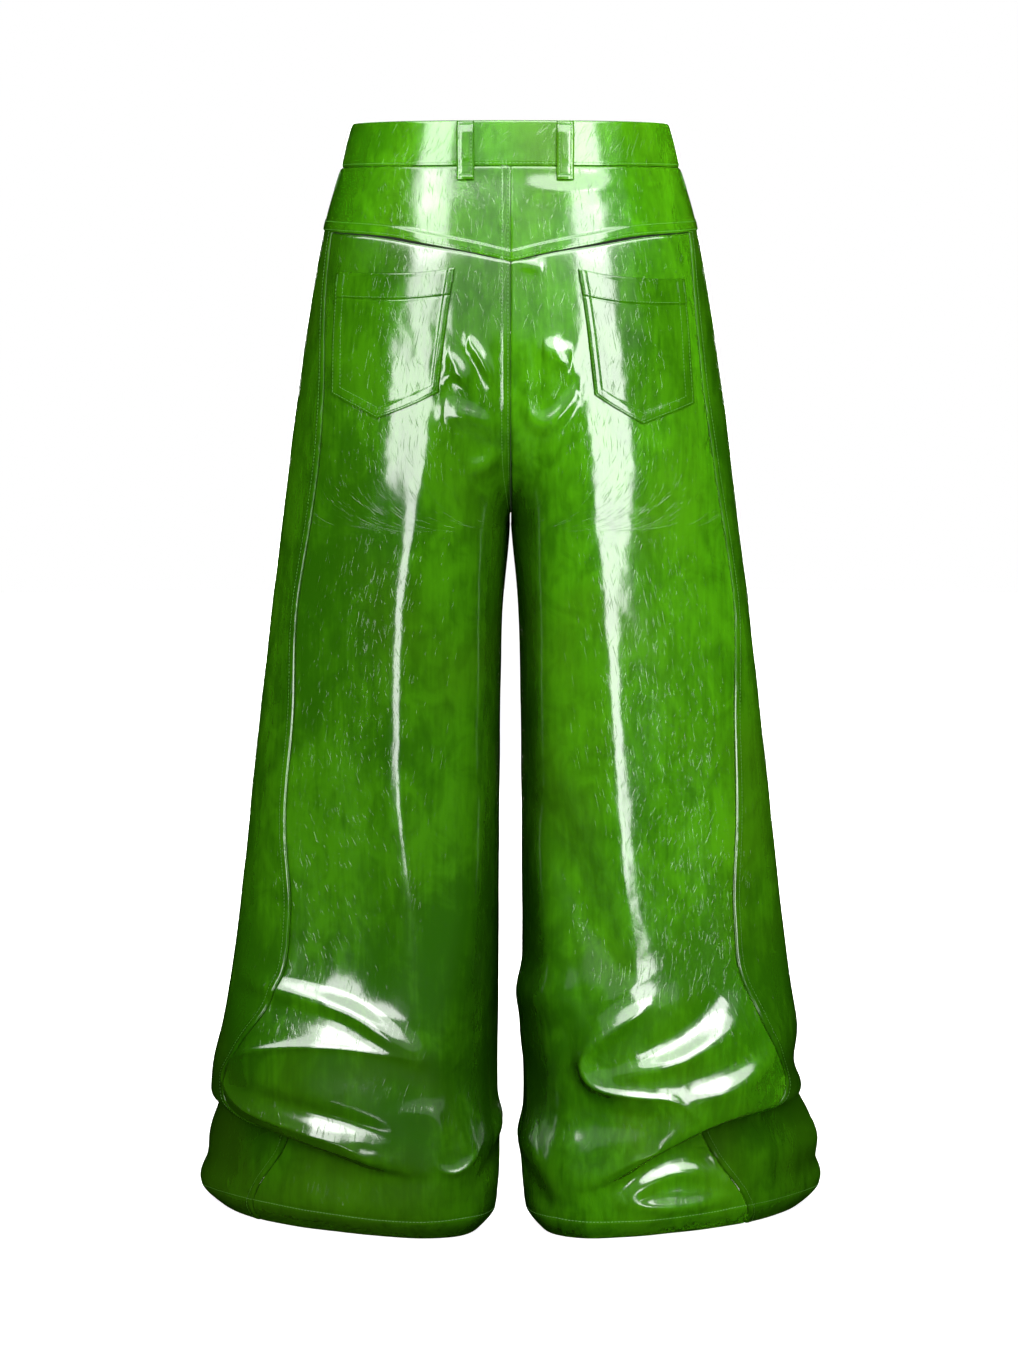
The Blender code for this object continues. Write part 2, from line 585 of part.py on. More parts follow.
def centre_strip(name, half_width, top, foot, lift, thick, material_name, finish):
    """A strip behind the two front panels over the centre front; lift has one value for each column."""
    reach = half_width / FRONT_WIDTH
    turn = 1.0 + np.linspace(-reach, reach, len(lift))[None, :]
    w = np.linspace(top, foot, 13)[:, None]
    turn, w = np.broadcast_arrays(turn, w)
    across = np.where(turn > 1.0, 2.0 - turn, turn)

    def place(out):
        out = np.broadcast_to(out, turn.shape)
        right = lifted("right", across, w, out)
        left = lifted("left", across, w, out)
        points = np.where((turn > 1.0)[..., None], left, right)
        middle = np.abs(turn - 1.0) < 1e-9
        points[middle, 0] = 0.0
        return points

    return wall(name, place(lift), place(lift - thick), material_name, finish)


def lathe(name, centre, axis, profile, around, material_name, finish):
    """A body of revolution about an axis in the YZ plane; the profile runs from pole to pole."""
    axis = np.asarray(axis, float)
    axis = axis / np.linalg.norm(axis)
    first = np.array([1.0, 0.0, 0.0])
    second = np.cross(axis, first)
    angle = np.linspace(0.0, 2.0 * math.pi, around, endpoint=False)
    circle = np.cos(angle)[:, None] * first + np.sin(angle)[:, None] * second
    inner_profile = profile[1:-1]
    points = [centre + axis * profile[0][1]]
    for radius, along in inner_profile:
        points.extend(centre + axis * along + circle * radius)
    points.append(centre + axis * profile[-1][1])
    faces = []
    last = len(points) - 1
    for k in range(around):
        following = (k + 1) % around
        faces.append((0, 1 + following, 1 + k))
        for level in range(len(inner_profile) - 1):
            low, high = 1 + level * around, 1 + (level + 1) * around
            faces.append((low + k, low + following, high + following))
            faces.append((low + k, high + following, high + k))
        low = 1 + (len(inner_profile) - 1) * around
        faces.append((low + k, low + following, last))
    return add_mesh(name, points, faces, material_name, finish)


def waist_button():
    """A domed button with a rim on the waistband's upper end."""
    turn = np.array([[-1.0 - 0.012 / FRONT_WIDTH]])
    w = np.array([[0.020]])
    lift = BAND_PROUD + BAND_SHEET + 2.0 * SEAM_GAP + 0.0001
    seat = band_point(turn, w, np.array([[lift]]))[0, 0]
    ahead = band_point(turn, w, np.array([[lift + 0.001]]))[0, 0] - seat
    axis = np.array([0.0, ahead[1], ahead[2]])
    r = BUTTON_RADIUS
    profile = [(0.0, 0.0), (0.45 * r, 0.0), (0.45 * r, 0.0012), (0.94 * r, 0.0013), (r, 0.0020)]
    profile += [(0.97 * r, 0.0030), (0.84 * r, 0.0034), (0.74 * r, 0.0030), (0.40 * r, 0.0034), (0.0, 0.0036)]
    return lathe("waist_button", seat, axis, profile, 24, "steel", STEEL)


def zip_slider():
    """The zip's slider with its pull tab, one small plate behind the tape just under the waistband."""
    centre = lifted("right", np.array([[1.0]]), np.array([[0.056]]), np.array([[-0.0034]]))[0, 0]
    below = lifted("right", np.array([[1.0]]), np.array([[0.080]]), np.array([[-0.0034]]))[0, 0]
    down = below - centre
    down[0] = 0.0
    down /= np.linalg.norm(down)
    out = np.cross(np.array([1.0, 0.0, 0.0]), down)
    centre[0] = 0.0
    columns = ("along", "half_width", "front", "back")
    table = np.array(
        [
            (-0.0050, 0.0030, 0.0000, -0.0010),
            (-0.0035, 0.0042, 0.0006, -0.0012),
            (0.0020, 0.0040, 0.0006, -0.0012),
            (0.0050, 0.0028, 0.0004, -0.0012),
            (0.0070, 0.0022, 0.0000, -0.0010),
            (0.0120, 0.0030, 0.0000, -0.0010),
            (0.0220, 0.0036, 0.0000, -0.0010),
            (0.0250, 0.0028, 0.0000, -0.0010),
        ]
    )
    column = {name: table[:, columns.index(name)] for name in columns}
    across = np.array([-1.0, -0.6, 0.0, 0.6, 1.0])
    spine = centre + down * column["along"][:, None]
    wide = np.array([1.0, 0.0, 0.0]) * column["half_width"][:, None]
    shape = spine[:, None] + wide[:, None] * across[None, :, None]
    front = shape + out * (column["front"][:, None, None] - 0.0002 * (across**2)[None, :, None])
    back = shape + out * column["back"][:, None, None]
    return wall("zip_slider", front, back, "steel", STEEL)


def build():
    """Build every piece."""
    clear_scene()
    waistband()
    for side in SIDES:
        yoke(side)
        back_panel(side)
        front_panel(side)
        back_pocket(side)
        belt_loop("belt_loop_back_" + side, side, *BACK_LOOPS[side])
        belt_loop("belt_loop_front_" + side, side, *FRONT_LOOPS[side])
    top = BAND_DROP + 0.002
    tape = np.full(7, -SHEET - SEAM_GAP - 0.0001)
    centre_strip("zip", 0.0120, top, top + FLY_LENGTH - 0.010, tape, 0.0007, "tape", TAPE)
    sewn, free = -SHEET - SEAM_GAP - 0.0001, -0.0052
    shield = np.array([sewn, sewn, free, free, free, free, free, sewn, sewn])
    centre_strip("fly_shield", 0.0260, top, top + FLY_LENGTH, shield, SHEET, "leather_inside", LEATHER_DARK)
    waist_button()
    zip_slider()


build()
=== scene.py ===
"""Dresses the wide-leg leather trousers: cloth, seams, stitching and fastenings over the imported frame.

Every cloth piece is a thin shell on one garment surface S(side, u, w), the same that the solids follow:
u goes round one half, from the centre back (0) past the outermost line (1/2) to the centre front (1);
w is the way down from the waistband's top edge as it would be with no slack in the cloth.
"""

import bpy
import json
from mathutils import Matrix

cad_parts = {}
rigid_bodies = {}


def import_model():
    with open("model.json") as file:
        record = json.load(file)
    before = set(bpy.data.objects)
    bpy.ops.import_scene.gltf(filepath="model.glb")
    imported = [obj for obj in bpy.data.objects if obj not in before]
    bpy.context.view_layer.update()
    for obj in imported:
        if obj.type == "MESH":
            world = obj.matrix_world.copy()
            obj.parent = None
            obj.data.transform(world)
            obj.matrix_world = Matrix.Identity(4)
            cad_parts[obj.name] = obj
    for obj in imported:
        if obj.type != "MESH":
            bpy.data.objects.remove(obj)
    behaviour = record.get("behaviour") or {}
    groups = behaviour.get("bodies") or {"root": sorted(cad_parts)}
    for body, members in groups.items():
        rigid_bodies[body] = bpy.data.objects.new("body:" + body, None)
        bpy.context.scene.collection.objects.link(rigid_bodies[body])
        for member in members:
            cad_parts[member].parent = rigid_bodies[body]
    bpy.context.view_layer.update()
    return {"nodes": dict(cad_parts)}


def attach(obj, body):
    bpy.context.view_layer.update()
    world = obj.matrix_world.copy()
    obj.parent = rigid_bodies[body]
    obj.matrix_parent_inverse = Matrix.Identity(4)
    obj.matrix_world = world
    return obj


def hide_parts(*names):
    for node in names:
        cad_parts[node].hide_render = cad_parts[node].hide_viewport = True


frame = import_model()

import json
import logging
import math
from dataclasses import dataclass, field
from enum import Enum

import bpy
import numpy as np
from mathutils import Vector

LOG = logging.getLogger("trousers")
Array = np.ndarray
Pair = tuple[float, float]
Triple = tuple[float, float, float]
Socket = bpy.types.NodeSocket
Material = bpy.types.Material
Piece = bpy.types.Object

SHEET = 0.0014  # one thickness of leather
INNER_SHARE = 0.9  # how much of it lies inside the garment surface
BAND_SHEET = 0.0026  # the waistband and the loops are folded double
SEAM_GAP = 0.0003  # daylight between two pieces that are sewn together
LAYER_GAP = SEAM_GAP + 0.0001  # between a piece and one that lies on it
BAND_DROP = 0.0400  # height of the waistband
BAND_PROUD = 0.0008  # how far the band stands out from the garment surface
HIP_DROP = 0.235  # where the centre seams begin to turn in towards the crotch
CROTCH_DROP = 0.367
JOINING = (0.520, 0.200)  # drops between which two leg tubes become one body tube
SEAM_REACH = 0.16  # u beside the centre seams that follows the crotch's own curve
BODY_TURN = 0.07  # how far the body ring's angle lags behind u
BODY_POWER = 2.1  # of the body ring's superellipse
FLOOR_DROP = 1.022
SLACK_DROP = 0.750  # from here down the legs have cloth to spare
SEAT_TOP = 0.100  # w of a leg panel's first row, before it is bent along the yoke
SEAT_FOOT = 0.300  # w from which the rows are level
HEM_HEIGHT = 0.025
HEM_SWING = (0.80, 0.20)  # drop from which the legs swing forwards, and over how much
HEM_TURN = 0.42  # metres forwards for each metre outwards from the pivot
HEM_PIVOT = 0.146
HEM_FORWARD = 0.012
SIDE_TOP = 0.442  # u of the side seam at the yoke
GIRTH = 0.80  # length of a leg ring, for widths across the cloth
SEAM_GIRTH = 0.62  # the same, for the gaps at the seams
HALF_GAP = SEAM_GAP / 2.0 / SEAM_GIRTH
FRONT_WIDTH = 0.235  # metres across the cloth for one u at the centre front
ROLL_REACH = 0.030  # half the height of the roll of cloth above each hem
ROLL_SLACK = (0.85, 50.0)  # spare cloth in a roll for its reach: plain, and for each metre of bulge
RIDGE_SOFT = {"left": 0.055, "right": 0.075}  # how rounded the ridge down the back of each leg is
FRONT_RIDGE = 0.25  # how far from the inseam the front's ridge lies
USUAL_RIDGE = 0.24
OVERLAP = 0.030  # of the waistband's ends
FLY_LENGTH = 0.150
YOKE_FRONT = 0.6900  # u where the yoke's lower edge meets the waistband
FRONT_TOP = 0.6956  # u from which a front panel's top edge follows the waistband
SKIP = 3  # how many steps of a shell's outer grid make one step of its inner side
FRONT_MAP, POCKET_MAP, LOOP_MAP = 1.0, 2.0, 3.0  # shifts on the cloth map, so that scratches aren't shared

SECTION_COLUMNS = ("drop", "outer", "inner", "mid", "back", "front", "square", "flank", "boxy")
SECTIONS = np.array(
    [
        (0.000, 0.1455, -0.0200, 0.075, 0.100, 0.098, 2.15, 0.00, 0.0),
        (0.040, 0.1560, -0.0200, 0.080, 0.107, 0.101, 2.15, 0.00, 0.0),
        (0.070, 0.1655, -0.0200, 0.083, 0.116, 0.105, 2.15, 0.00, 0.0),
        (0.106, 0.1745, -0.0200, 0.088, 0.126, 0.109, 2.15, 0.00, 0.0),
        (0.143, 0.1815, -0.0200, 0.092, 0.133, 0.112, 2.15, 0.00, 0.0),
        (0.180, 0.1875, -0.0100, 0.095, 0.137, 0.115, 2.15, 0.03, 0.0),
        (0.245, 0.1975, 0.0000, 0.099, 0.137, 0.118, 2.15, 0.14, 0.0),
        (0.310, 0.2060, 0.0000, 0.102, 0.133, 0.118, 2.15, 0.26, 0.3),
        (0.367, 0.2125, 0.0003, 0.104, 0.128, 0.117, 2.15, 0.32, 0.8),
        (0.440, 0.2220, 0.0068, 0.106, 0.122, 0.114, 2.20, 0.34, 1.3),
        (0.515, 0.2310, 0.0090, 0.107, 0.118, 0.112, 2.20, 0.35, 1.6),
        (0.591, 0.2395, 0.0100, 0.107, 0.116, 0.110, 2.20, 0.35, 1.6),
        (0.666, 0.2475, 0.0105, 0.107, 0.115, 0.108, 2.20, 0.36, 1.5),
        (0.742, 0.2565, 0.0108, 0.110, 0.117, 0.107, 2.20, 0.37, 1.1),
        (0.819, 0.2675, 0.0112, 0.116, 0.120, 0.108, 2.20, 0.27, 0.4),
        (0.860, 0.2740, 0.0118, 0.122, 0.121, 0.110, 2.20, 0.12, 0.1),
        (0.900, 0.2780, 0.0118, 0.130, 0.120, 0.112, 2.20, 0.06, 0.0),
        (0.960, 0.2925, 0.0100, 0.140, 0.119, 0.115, 2.20, 0.00, 0.0),
        (0.985, 0.2945, 0.0115, 0.143, 0.119, 0.116, 2.15, 0.00, 0.0),
        (1.008, 0.2975, 0.0165, 0.145, 0.112, 0.114, 2.30, 0.00, 0.0),
        (1.022, 0.2775, 0.0290, 0.144, 0.099, 0.106, 2.60, 0.00, 0.0),
    ]
)

RIDGE_COLUMNS = ("drop", "left", "right")
RIDGE = np.array(
    [
        (0.245, 0.226, 0.206), (0.3, 0.236, 0.218), (0.36, 0.243, 0.226), (0.43, 0.246, 0.227),
        (0.51, 0.245, 0.229), (0.59, 0.244, 0.239), (0.66, 0.236, 0.245), (0.72, 0.221, 0.248),
        (0.78, 0.206, 0.252), (0.86, 0.186, 0.255),
    ]
)

SIDE_COLUMNS = ("w", "left", "right")
SIDE_SEAM = np.array(
    [
        (0.0985, 0.442, 0.442), (0.15, 0.43, 0.426), (0.23, 0.411, 0.42), (0.3, 0.403, 0.424),
        (0.397, 0.394, 0.422), (0.524, 0.381, 0.396), (0.645, 0.39, 0.391), (0.73, 0.376, 0.38),
        (0.783, 0.38, 0.383), (0.805, 0.392, 0.396), (0.845, 0.428, 0.416), (0.87, 0.436, 0.419),
        (0.892, 0.418, 0.388), (0.907, 0.376, 0.332), (0.93, 0.352, 0.312), (0.955, 0.352, 0.318),
        (0.992, 0.373, 0.343), (1.022, 0.382, 0.361),
    ]
)

# The yoke's lower edge, as u and drop.
YOKE_EDGE = np.array(
    [
        (0.0, 0.1256), (0.13, 0.118), (0.257, 0.1097), (0.318, 0.1042), (0.442, 0.099),
        (0.5, 0.0968), (0.56, 0.085), (0.61, 0.062), (0.6449, 0.0448), (0.69, 0.0409),
    ]
)

ROLL_COLUMNS = ("u", "edge", "bulge")
ROLLS = {
    "left": np.array(
        [
            (0.0, 0.935, 0.0), (0.14, 0.96, 0.0), (0.22, 0.955, 0.0035), (0.3, 0.94, 0.009),
            (0.38, 0.925, 0.01), (0.5, 0.914, 0.0055), (0.62, 0.93, 0.008), (0.74, 0.945, 0.0065),
            (0.86, 0.955, 0.001), (1.0, 0.935, 0.0),
        ]
    ),
    "right": np.array(
        [
            (0.0, 0.95, 0.0), (0.12, 0.975, 0.0), (0.18, 0.966, 0.003), (0.25, 0.94, 0.0085),
            (0.33, 0.916, 0.0115), (0.43, 0.909, 0.009), (0.52, 0.904, 0.0055), (0.6, 0.915, 0.007),
            (0.68, 0.93, 0.008), (0.84, 0.95, 0.002), (1.0, 0.95, 0.0),
        ]
    ),
}

# Soft folds: u and drop of the start, the middle and the end, then height and spread in metres.
FOLDS = {
    "left": (
        (0.47, 0.822, 0.34, 0.832, 0.22, 0.848, 0.0018, 0.017),
        (0.42, 0.874, 0.26, 0.868, 0.02, 0.894, -0.002, 0.012),
        (0.3, 0.885, 0.2, 0.892, 0.05, 0.905, -0.0012, 0.018),
        (0.1, 0.985, 0.05, 0.955, 0.0, 0.96, -0.004, 0.011),
        (0.15, 0.5, 0.17, 0.65, 0.15, 0.82, -0.003, 0.028),
        (0.43, 0.89, 0.5, 0.875, 0.6, 0.88, 0.003, 0.018),
        (0.0, 0.918, 0.02, 0.924, 0.05, 0.93, 0.0045, 0.009),
        (1.0, 0.918, 0.98, 0.924, 0.95, 0.93, 0.0045, 0.009),
        (0.6, 0.84, 0.74, 0.87, 0.9, 0.85, 0.005, 0.014),
        (0.58, 0.89, 0.72, 0.905, 0.92, 0.88, -0.008, 0.013),
        (0.78, 0.3, 0.74, 0.52, 0.76, 0.8, 0.004, 0.022),
        (0.86, 0.3, 0.88, 0.34, 0.96, 0.35, 0.003, 0.012),
    ),
    "right": (
        (0.24, 0.85, 0.3, 0.832, 0.36, 0.8, -0.0045, 0.009),
        (0.29, 0.876, 0.35, 0.864, 0.41, 0.836, -0.003, 0.008),
        (0.28, 0.906, 0.16, 0.908, 0.02, 0.93, -0.0045, 0.015),
        (0.14, 0.6, 0.195, 0.7, 0.248, 0.79, -0.0095, 0.019),
        (0.03, 0.8, 0.12, 0.8, 0.19, 0.793, 0.0095, 0.0165),
        (0.02, 0.842, 0.1, 0.842, 0.165, 0.838, 0.006, 0.022),
        (0.36, 0.945, 0.43, 0.96, 0.5, 0.95, 0.008, 0.018),
        (0.31, 0.94, 0.31, 0.958, 0.33, 0.975, -0.004, 0.008),
        (0.02, 0.96, 0.06, 0.972, 0.1, 0.995, -0.0045, 0.011),
        (0.42, 0.885, 0.5, 0.88, 0.6, 0.885, -0.012, 0.019),
        (0.0, 0.945, 0.03, 0.94, 0.08, 0.93, 0.005, 0.012),
        (1.0, 0.945, 0.97, 0.94, 0.92, 0.93, 0.005, 0.012),
        (0.62, 0.835, 0.75, 0.862, 0.9, 0.845, 0.005, 0.014),
        (0.6, 0.885, 0.74, 0.9, 0.93, 0.885, -0.008, 0.013),
        (0.77, 0.3, 0.75, 0.54, 0.74, 0.8, 0.004, 0.022),
        (0.86, 0.3, 0.88, 0.34, 0.96, 0.35, 0.003, 0.012),
    ),
}

# Back pockets: top inner, top outer, outer foot, point and inner foot, as u and drop.
POCKETS = {
    "left": ((0.183, 0.1316), (0.405, 0.1353), (0.392, 0.2449), (0.319, 0.2663), (0.214, 0.2423)),
    "right": ((0.211, 0.1325), (0.403, 0.1418), (0.398, 0.2538), (0.318, 0.2714), (0.238, 0.2448)),
}
POCKET_SAG = 0.003  # of a back pocket's top edge
POCKET_SIZE = 0.125  # a back pocket's usual width and height, for its rows and columns
LOOP_WIDTH = 0.0155
LOOP_LENGTH = 0.0530
LOOP_STANDOFF = 0.0022  # how far the middle of a loop stands off the band
LOOP_ARCH = (0.25, 0.80)  # shares of the length over which the arch rises, and at which it has ended
# u of a loop's middle at its top and at its foot.
BACK_LOOPS = {"left": (0.189, 0.1755), "right": (0.218, 0.203)}
FRONT_LOOPS = {"left": (0.740, 0.746), "right": (0.740, 0.746)}


class Side(Enum):
    """The wearer's left or right half of the garment."""

    LEFT = "left"
    RIGHT = "right"

    @property
    def sign(self) -> float:
        """Direction of this half along X."""
        return -1.0 if self is Side.LEFT else 1.0


class Crest(Enum):
    """How the top of a fold is rounded."""

    SOFT = "soft"
    CRISP = "crisp"


def ease(value: Array | float) -> Array:
    """Smooth step 6t^5 - 15t^4 + 10t^3 from 0 to 1, with level ends and no jump in its bend."""
    t = np.clip(value, 0.0, 1.0)
    return t * t * t * (t * (6.0 * t - 15.0) + 10.0)


def ease_plain(value: Array | float) -> Array:
    """Smooth step 3t^2 - 2t^3 from 0 to 1."""
    t = np.clip(value, 0.0, 1.0)
    return t * t * (3.0 - 2.0 * t)


def hermite(at: Array, knots: Array, values: Array) -> Array:
    """A cubic through a table's column with the table's own mean slopes, level beyond its ends.

    Args:
        at: places to read the column at.
        knots: the table's rising places.
        values: the column.

    Returns:
        The column's values at those places.
    """
    slopes = np.gradient(values, knots)
    at = np.clip(at, knots[0], knots[-1])
    index = np.clip(np.searchsorted(knots, at, side="right") - 1, 0, len(knots) - 2)
    step = knots[index + 1] - knots[index]
    part = (at - knots[index]) / step
    rest = 1.0 - part
    return (
        (1.0 + 2.0 * part) * rest**2 * values[index]
        + part * rest**2 * step * slopes[index]
        + part**2 * (3.0 - 2.0 * part) * values[index + 1]
        - part**2 * rest * step * slopes[index + 1]
    )


def spline(at: Array, knots: Array, values: Array) -> Array:
    """A natural cubic spline, whose bend has no jumps, so that gloss runs over it evenly.

    Args:
        at: places to read the curve at.
        knots: rising places of the values.
        values: the values there.

    Returns:
        The curve's values, level beyond its ends.
    """
    step = np.diff(knots)
    rise = np.diff(values) / step
    count = len(knots)
    system = np.zeros((count, count))
    system[0, 0] = system[-1, -1] = 1.0
    inner = np.arange(1, count - 1)
    system[inner, inner - 1] = step[:-1]
    system[inner, inner] = 2.0 * (step[:-1] + step[1:])
    system[inner, inner + 1] = step[1:]
    bend = np.linalg.solve(system, np.concatenate([[0.0], 6.0 * np.diff(rise), [0.0]]))
    at = np.clip(at, knots[0], knots[-1])
    k = np.clip(np.searchsorted(knots, at, side="right") - 1, 0, count - 2)
    left, right = at - knots[k], knots[k + 1] - at
    return (
        (bend[k] * right**3 + bend[k + 1] * left**3) / (6.0 * step[k])
        + (values[k] / step[k] - bend[k] * step[k] / 6.0) * right
        + (values[k + 1] / step[k] - bend[k + 1] * step[k] / 6.0) * left
    )


def way_along(line: Array) -> Array:
    """Distance of each point of a line from its first one."""
    return np.concatenate([[0.0], np.cumsum(np.linalg.norm(np.diff(line, axis=0), axis=1))])


CURVE_STEPS = 8  # steps of a fold's curve for each place it runs through
FOLD_ENDS = (0.02, 0.98)  # shares of its length beyond which a fold fades no more
CREST_REACH = {Crest.SOFT: 4.0, Crest.CRISP: 6.0}  # spreads from the crest to where nothing is left
CREST_ROUND = 0.0012  # radius of a crisp fold's top


@dataclass(frozen=True)
class Fold:
    """A ridge or trough in the cloth along a smooth curve.

    Attributes:
        path: places it runs through, as (u, drop).
        height: metres, below zero for a trough.
        spread: metres from the crest to where it has mostly died away.
        crest: soft for a bell, crisp for a tent with a narrow rounded top.
    """

    path: tuple[Pair, ...]
    height: float
    spread: float
    crest: Crest = Crest.SOFT

    def curve(self) -> Array:
        """The curve in short steps, as metres across and down: a spline through its places."""
        knots = np.array(self.path) * (GIRTH, 1.0)
        chord = way_along(knots)
        part = np.linspace(0.0, chord[-1], CURVE_STEPS * len(knots))
        return np.stack([spline(part, chord, knots[:, k]) for k in (0, 1)], axis=1)

    def relief(self, u: Array, drop: Array) -> Array:
        """Height over the cloth: bell exp(-d^2/2s^2) or tent exp((e - sqrt(d^2 + e^2))/s), d from the curve.

        Args:
            u: places round the leg.
            drop: places down the leg, of the same shape.

        Returns:
            Heights in metres, fading at both ends of the curve as the root of a sine.
        """
        line = self.curve()
        reach = CREST_REACH[self.crest] * self.spread
        across, down = u.ravel() * GIRTH, drop.ravel()
        low, high = line.min(axis=0) - reach, line.max(axis=0) + reach
        close = (across > low[0]) & (across < high[0]) & (down > low[1]) & (down < high[1])
        total = np.zeros(across.shape)
        if close.any():
            places = np.stack([across[close], down[close]], axis=1)[:, None]
            way = np.diff(line, axis=0)
            off = places - line[None, :-1]
            t = np.clip((off * way).sum(-1) / (way * way).sum(-1), 0.0, 1.0)
            far = np.linalg.norm(off - t[..., None] * way, axis=-1)
            best = far.argmin(axis=1)
            row = np.arange(len(best))
            along = (best + t[row, best]) / (len(line) - 1)
            far = far[row, best]
            taper = np.sqrt(np.sin(math.pi * np.clip(along, *FOLD_ENDS)))
            if self.crest is Crest.SOFT:
                bell = np.exp(-(far**2) / (2.0 * self.spread**2))
            else:
                bell = np.exp((CREST_ROUND - np.sqrt(far**2 + CREST_ROUND**2)) / self.spread)
            total[close] = self.height * taper * bell
        return total.reshape(u.shape)


def three_point_folds(rows: tuple[tuple[float, ...], ...]) -> list[Fold]:
    """Folds from table rows of u and drop at three places, height and spread."""
    return [Fold(((r[0], r[1]), (r[2], r[3]), (r[4], r[5])), r[6], r[7]) for r in rows]


# The sharper creases of the rolls above the hems and of the seat.
CRISP = Crest.CRISP
CREASES = {
    "left": [
        Fold(
            ((0.44, 0.79), (0.36, 0.8), (0.3, 0.81), (0.25, 0.828), (0.2, 0.853)),
            0.0062,
            0.007,
        ),
        Fold(
            (
                *((0.205, 0.853), (0.27, 0.846), (0.335, 0.845), (0.395, 0.853), (0.43, 0.866)),
                *((0.44, 0.882), (0.424, 0.898), (0.392, 0.911), (0.345, 0.92), (0.3, 0.928)),
                *((0.262, 0.937), (0.24, 0.95)),
            ),
            0.0034,
            0.0046,
            CRISP,
        ),
        Fold(
            ((0.425, 0.89), (0.385, 0.896), (0.33, 0.904), (0.27, 0.913), (0.21, 0.925)),
            -0.0036,
            0.0066,
        ),
        Fold(((0.16, 0.925), (0.15, 0.952), (0.128, 0.957), (0.085, 0.934)), 0.003, 0.005, CRISP),
        Fold(((0.215, 0.903), (0.165, 0.908), (0.15, 0.935)), 0.0022, 0.006),
        Fold(((0.144, 0.1955), (0.099, 0.213), (0.06, 0.2345)), 0.004, 0.0062),
        Fold(((0.196, 0.209), (0.167, 0.2195), (0.136, 0.231)), 0.0034, 0.0062),
        Fold(((0.208, 0.2345), (0.187, 0.2265), (0.136, 0.2375)), 0.0024, 0.004),
        Fold(((0.204, 0.2595), (0.145, 0.265), (0.052, 0.276)), 0.0048, 0.0078),
        Fold(((0.157, 0.314), (0.111, 0.3085), (0.049, 0.3015)), 0.0046, 0.0066),
    ],
    "right": [
        Fold(
            (
                *((0.27, 0.8), (0.235, 0.817), (0.198, 0.837), (0.176, 0.857), (0.18, 0.873)),
                *((0.205, 0.882), (0.25, 0.887), (0.282, 0.893), (0.296, 0.908)),
            ),
            0.004,
            0.0044,
            CRISP,
        ),
        Fold(
            ((0.3, 0.8), (0.235, 0.815), (0.19, 0.838), (0.178, 0.862), (0.205, 0.882), (0.29, 0.896)),
            0.004,
            0.009,
        ),
        Fold(((0.205, 0.869), (0.25, 0.862), (0.307, 0.851), (0.365, 0.828)), 0.0034, 0.0056),
        Fold(((0.297, 0.891), (0.346, 0.884), (0.411, 0.859)), 0.0036, 0.0062),
        Fold(((0.258, 0.936), (0.215, 0.945), (0.18, 0.96)), 0.0026, 0.0046, CRISP),
        Fold(((0.2, 0.984), (0.245, 0.966), (0.285, 0.962), (0.345, 0.984)), 0.004, 0.006),
        Fold(((0.2, 0.987), (0.27, 0.994), (0.345, 0.987)), 0.003, 0.005),
        Fold(((0.105, 0.2045), (0.149, 0.208), (0.189, 0.215)), 0.0044, 0.008),
        Fold(((0.05, 0.2615), (0.145, 0.268), (0.205, 0.239)), 0.0046, 0.007),
        Fold(((0.075, 0.06), (0.2, 0.063), (0.33, 0.057)), 0.0014, 0.006),
        Fold(((0.017, 0.127), (0.065, 0.1285), (0.119, 0.132)), 0.0016, 0.0048),
    ],
}


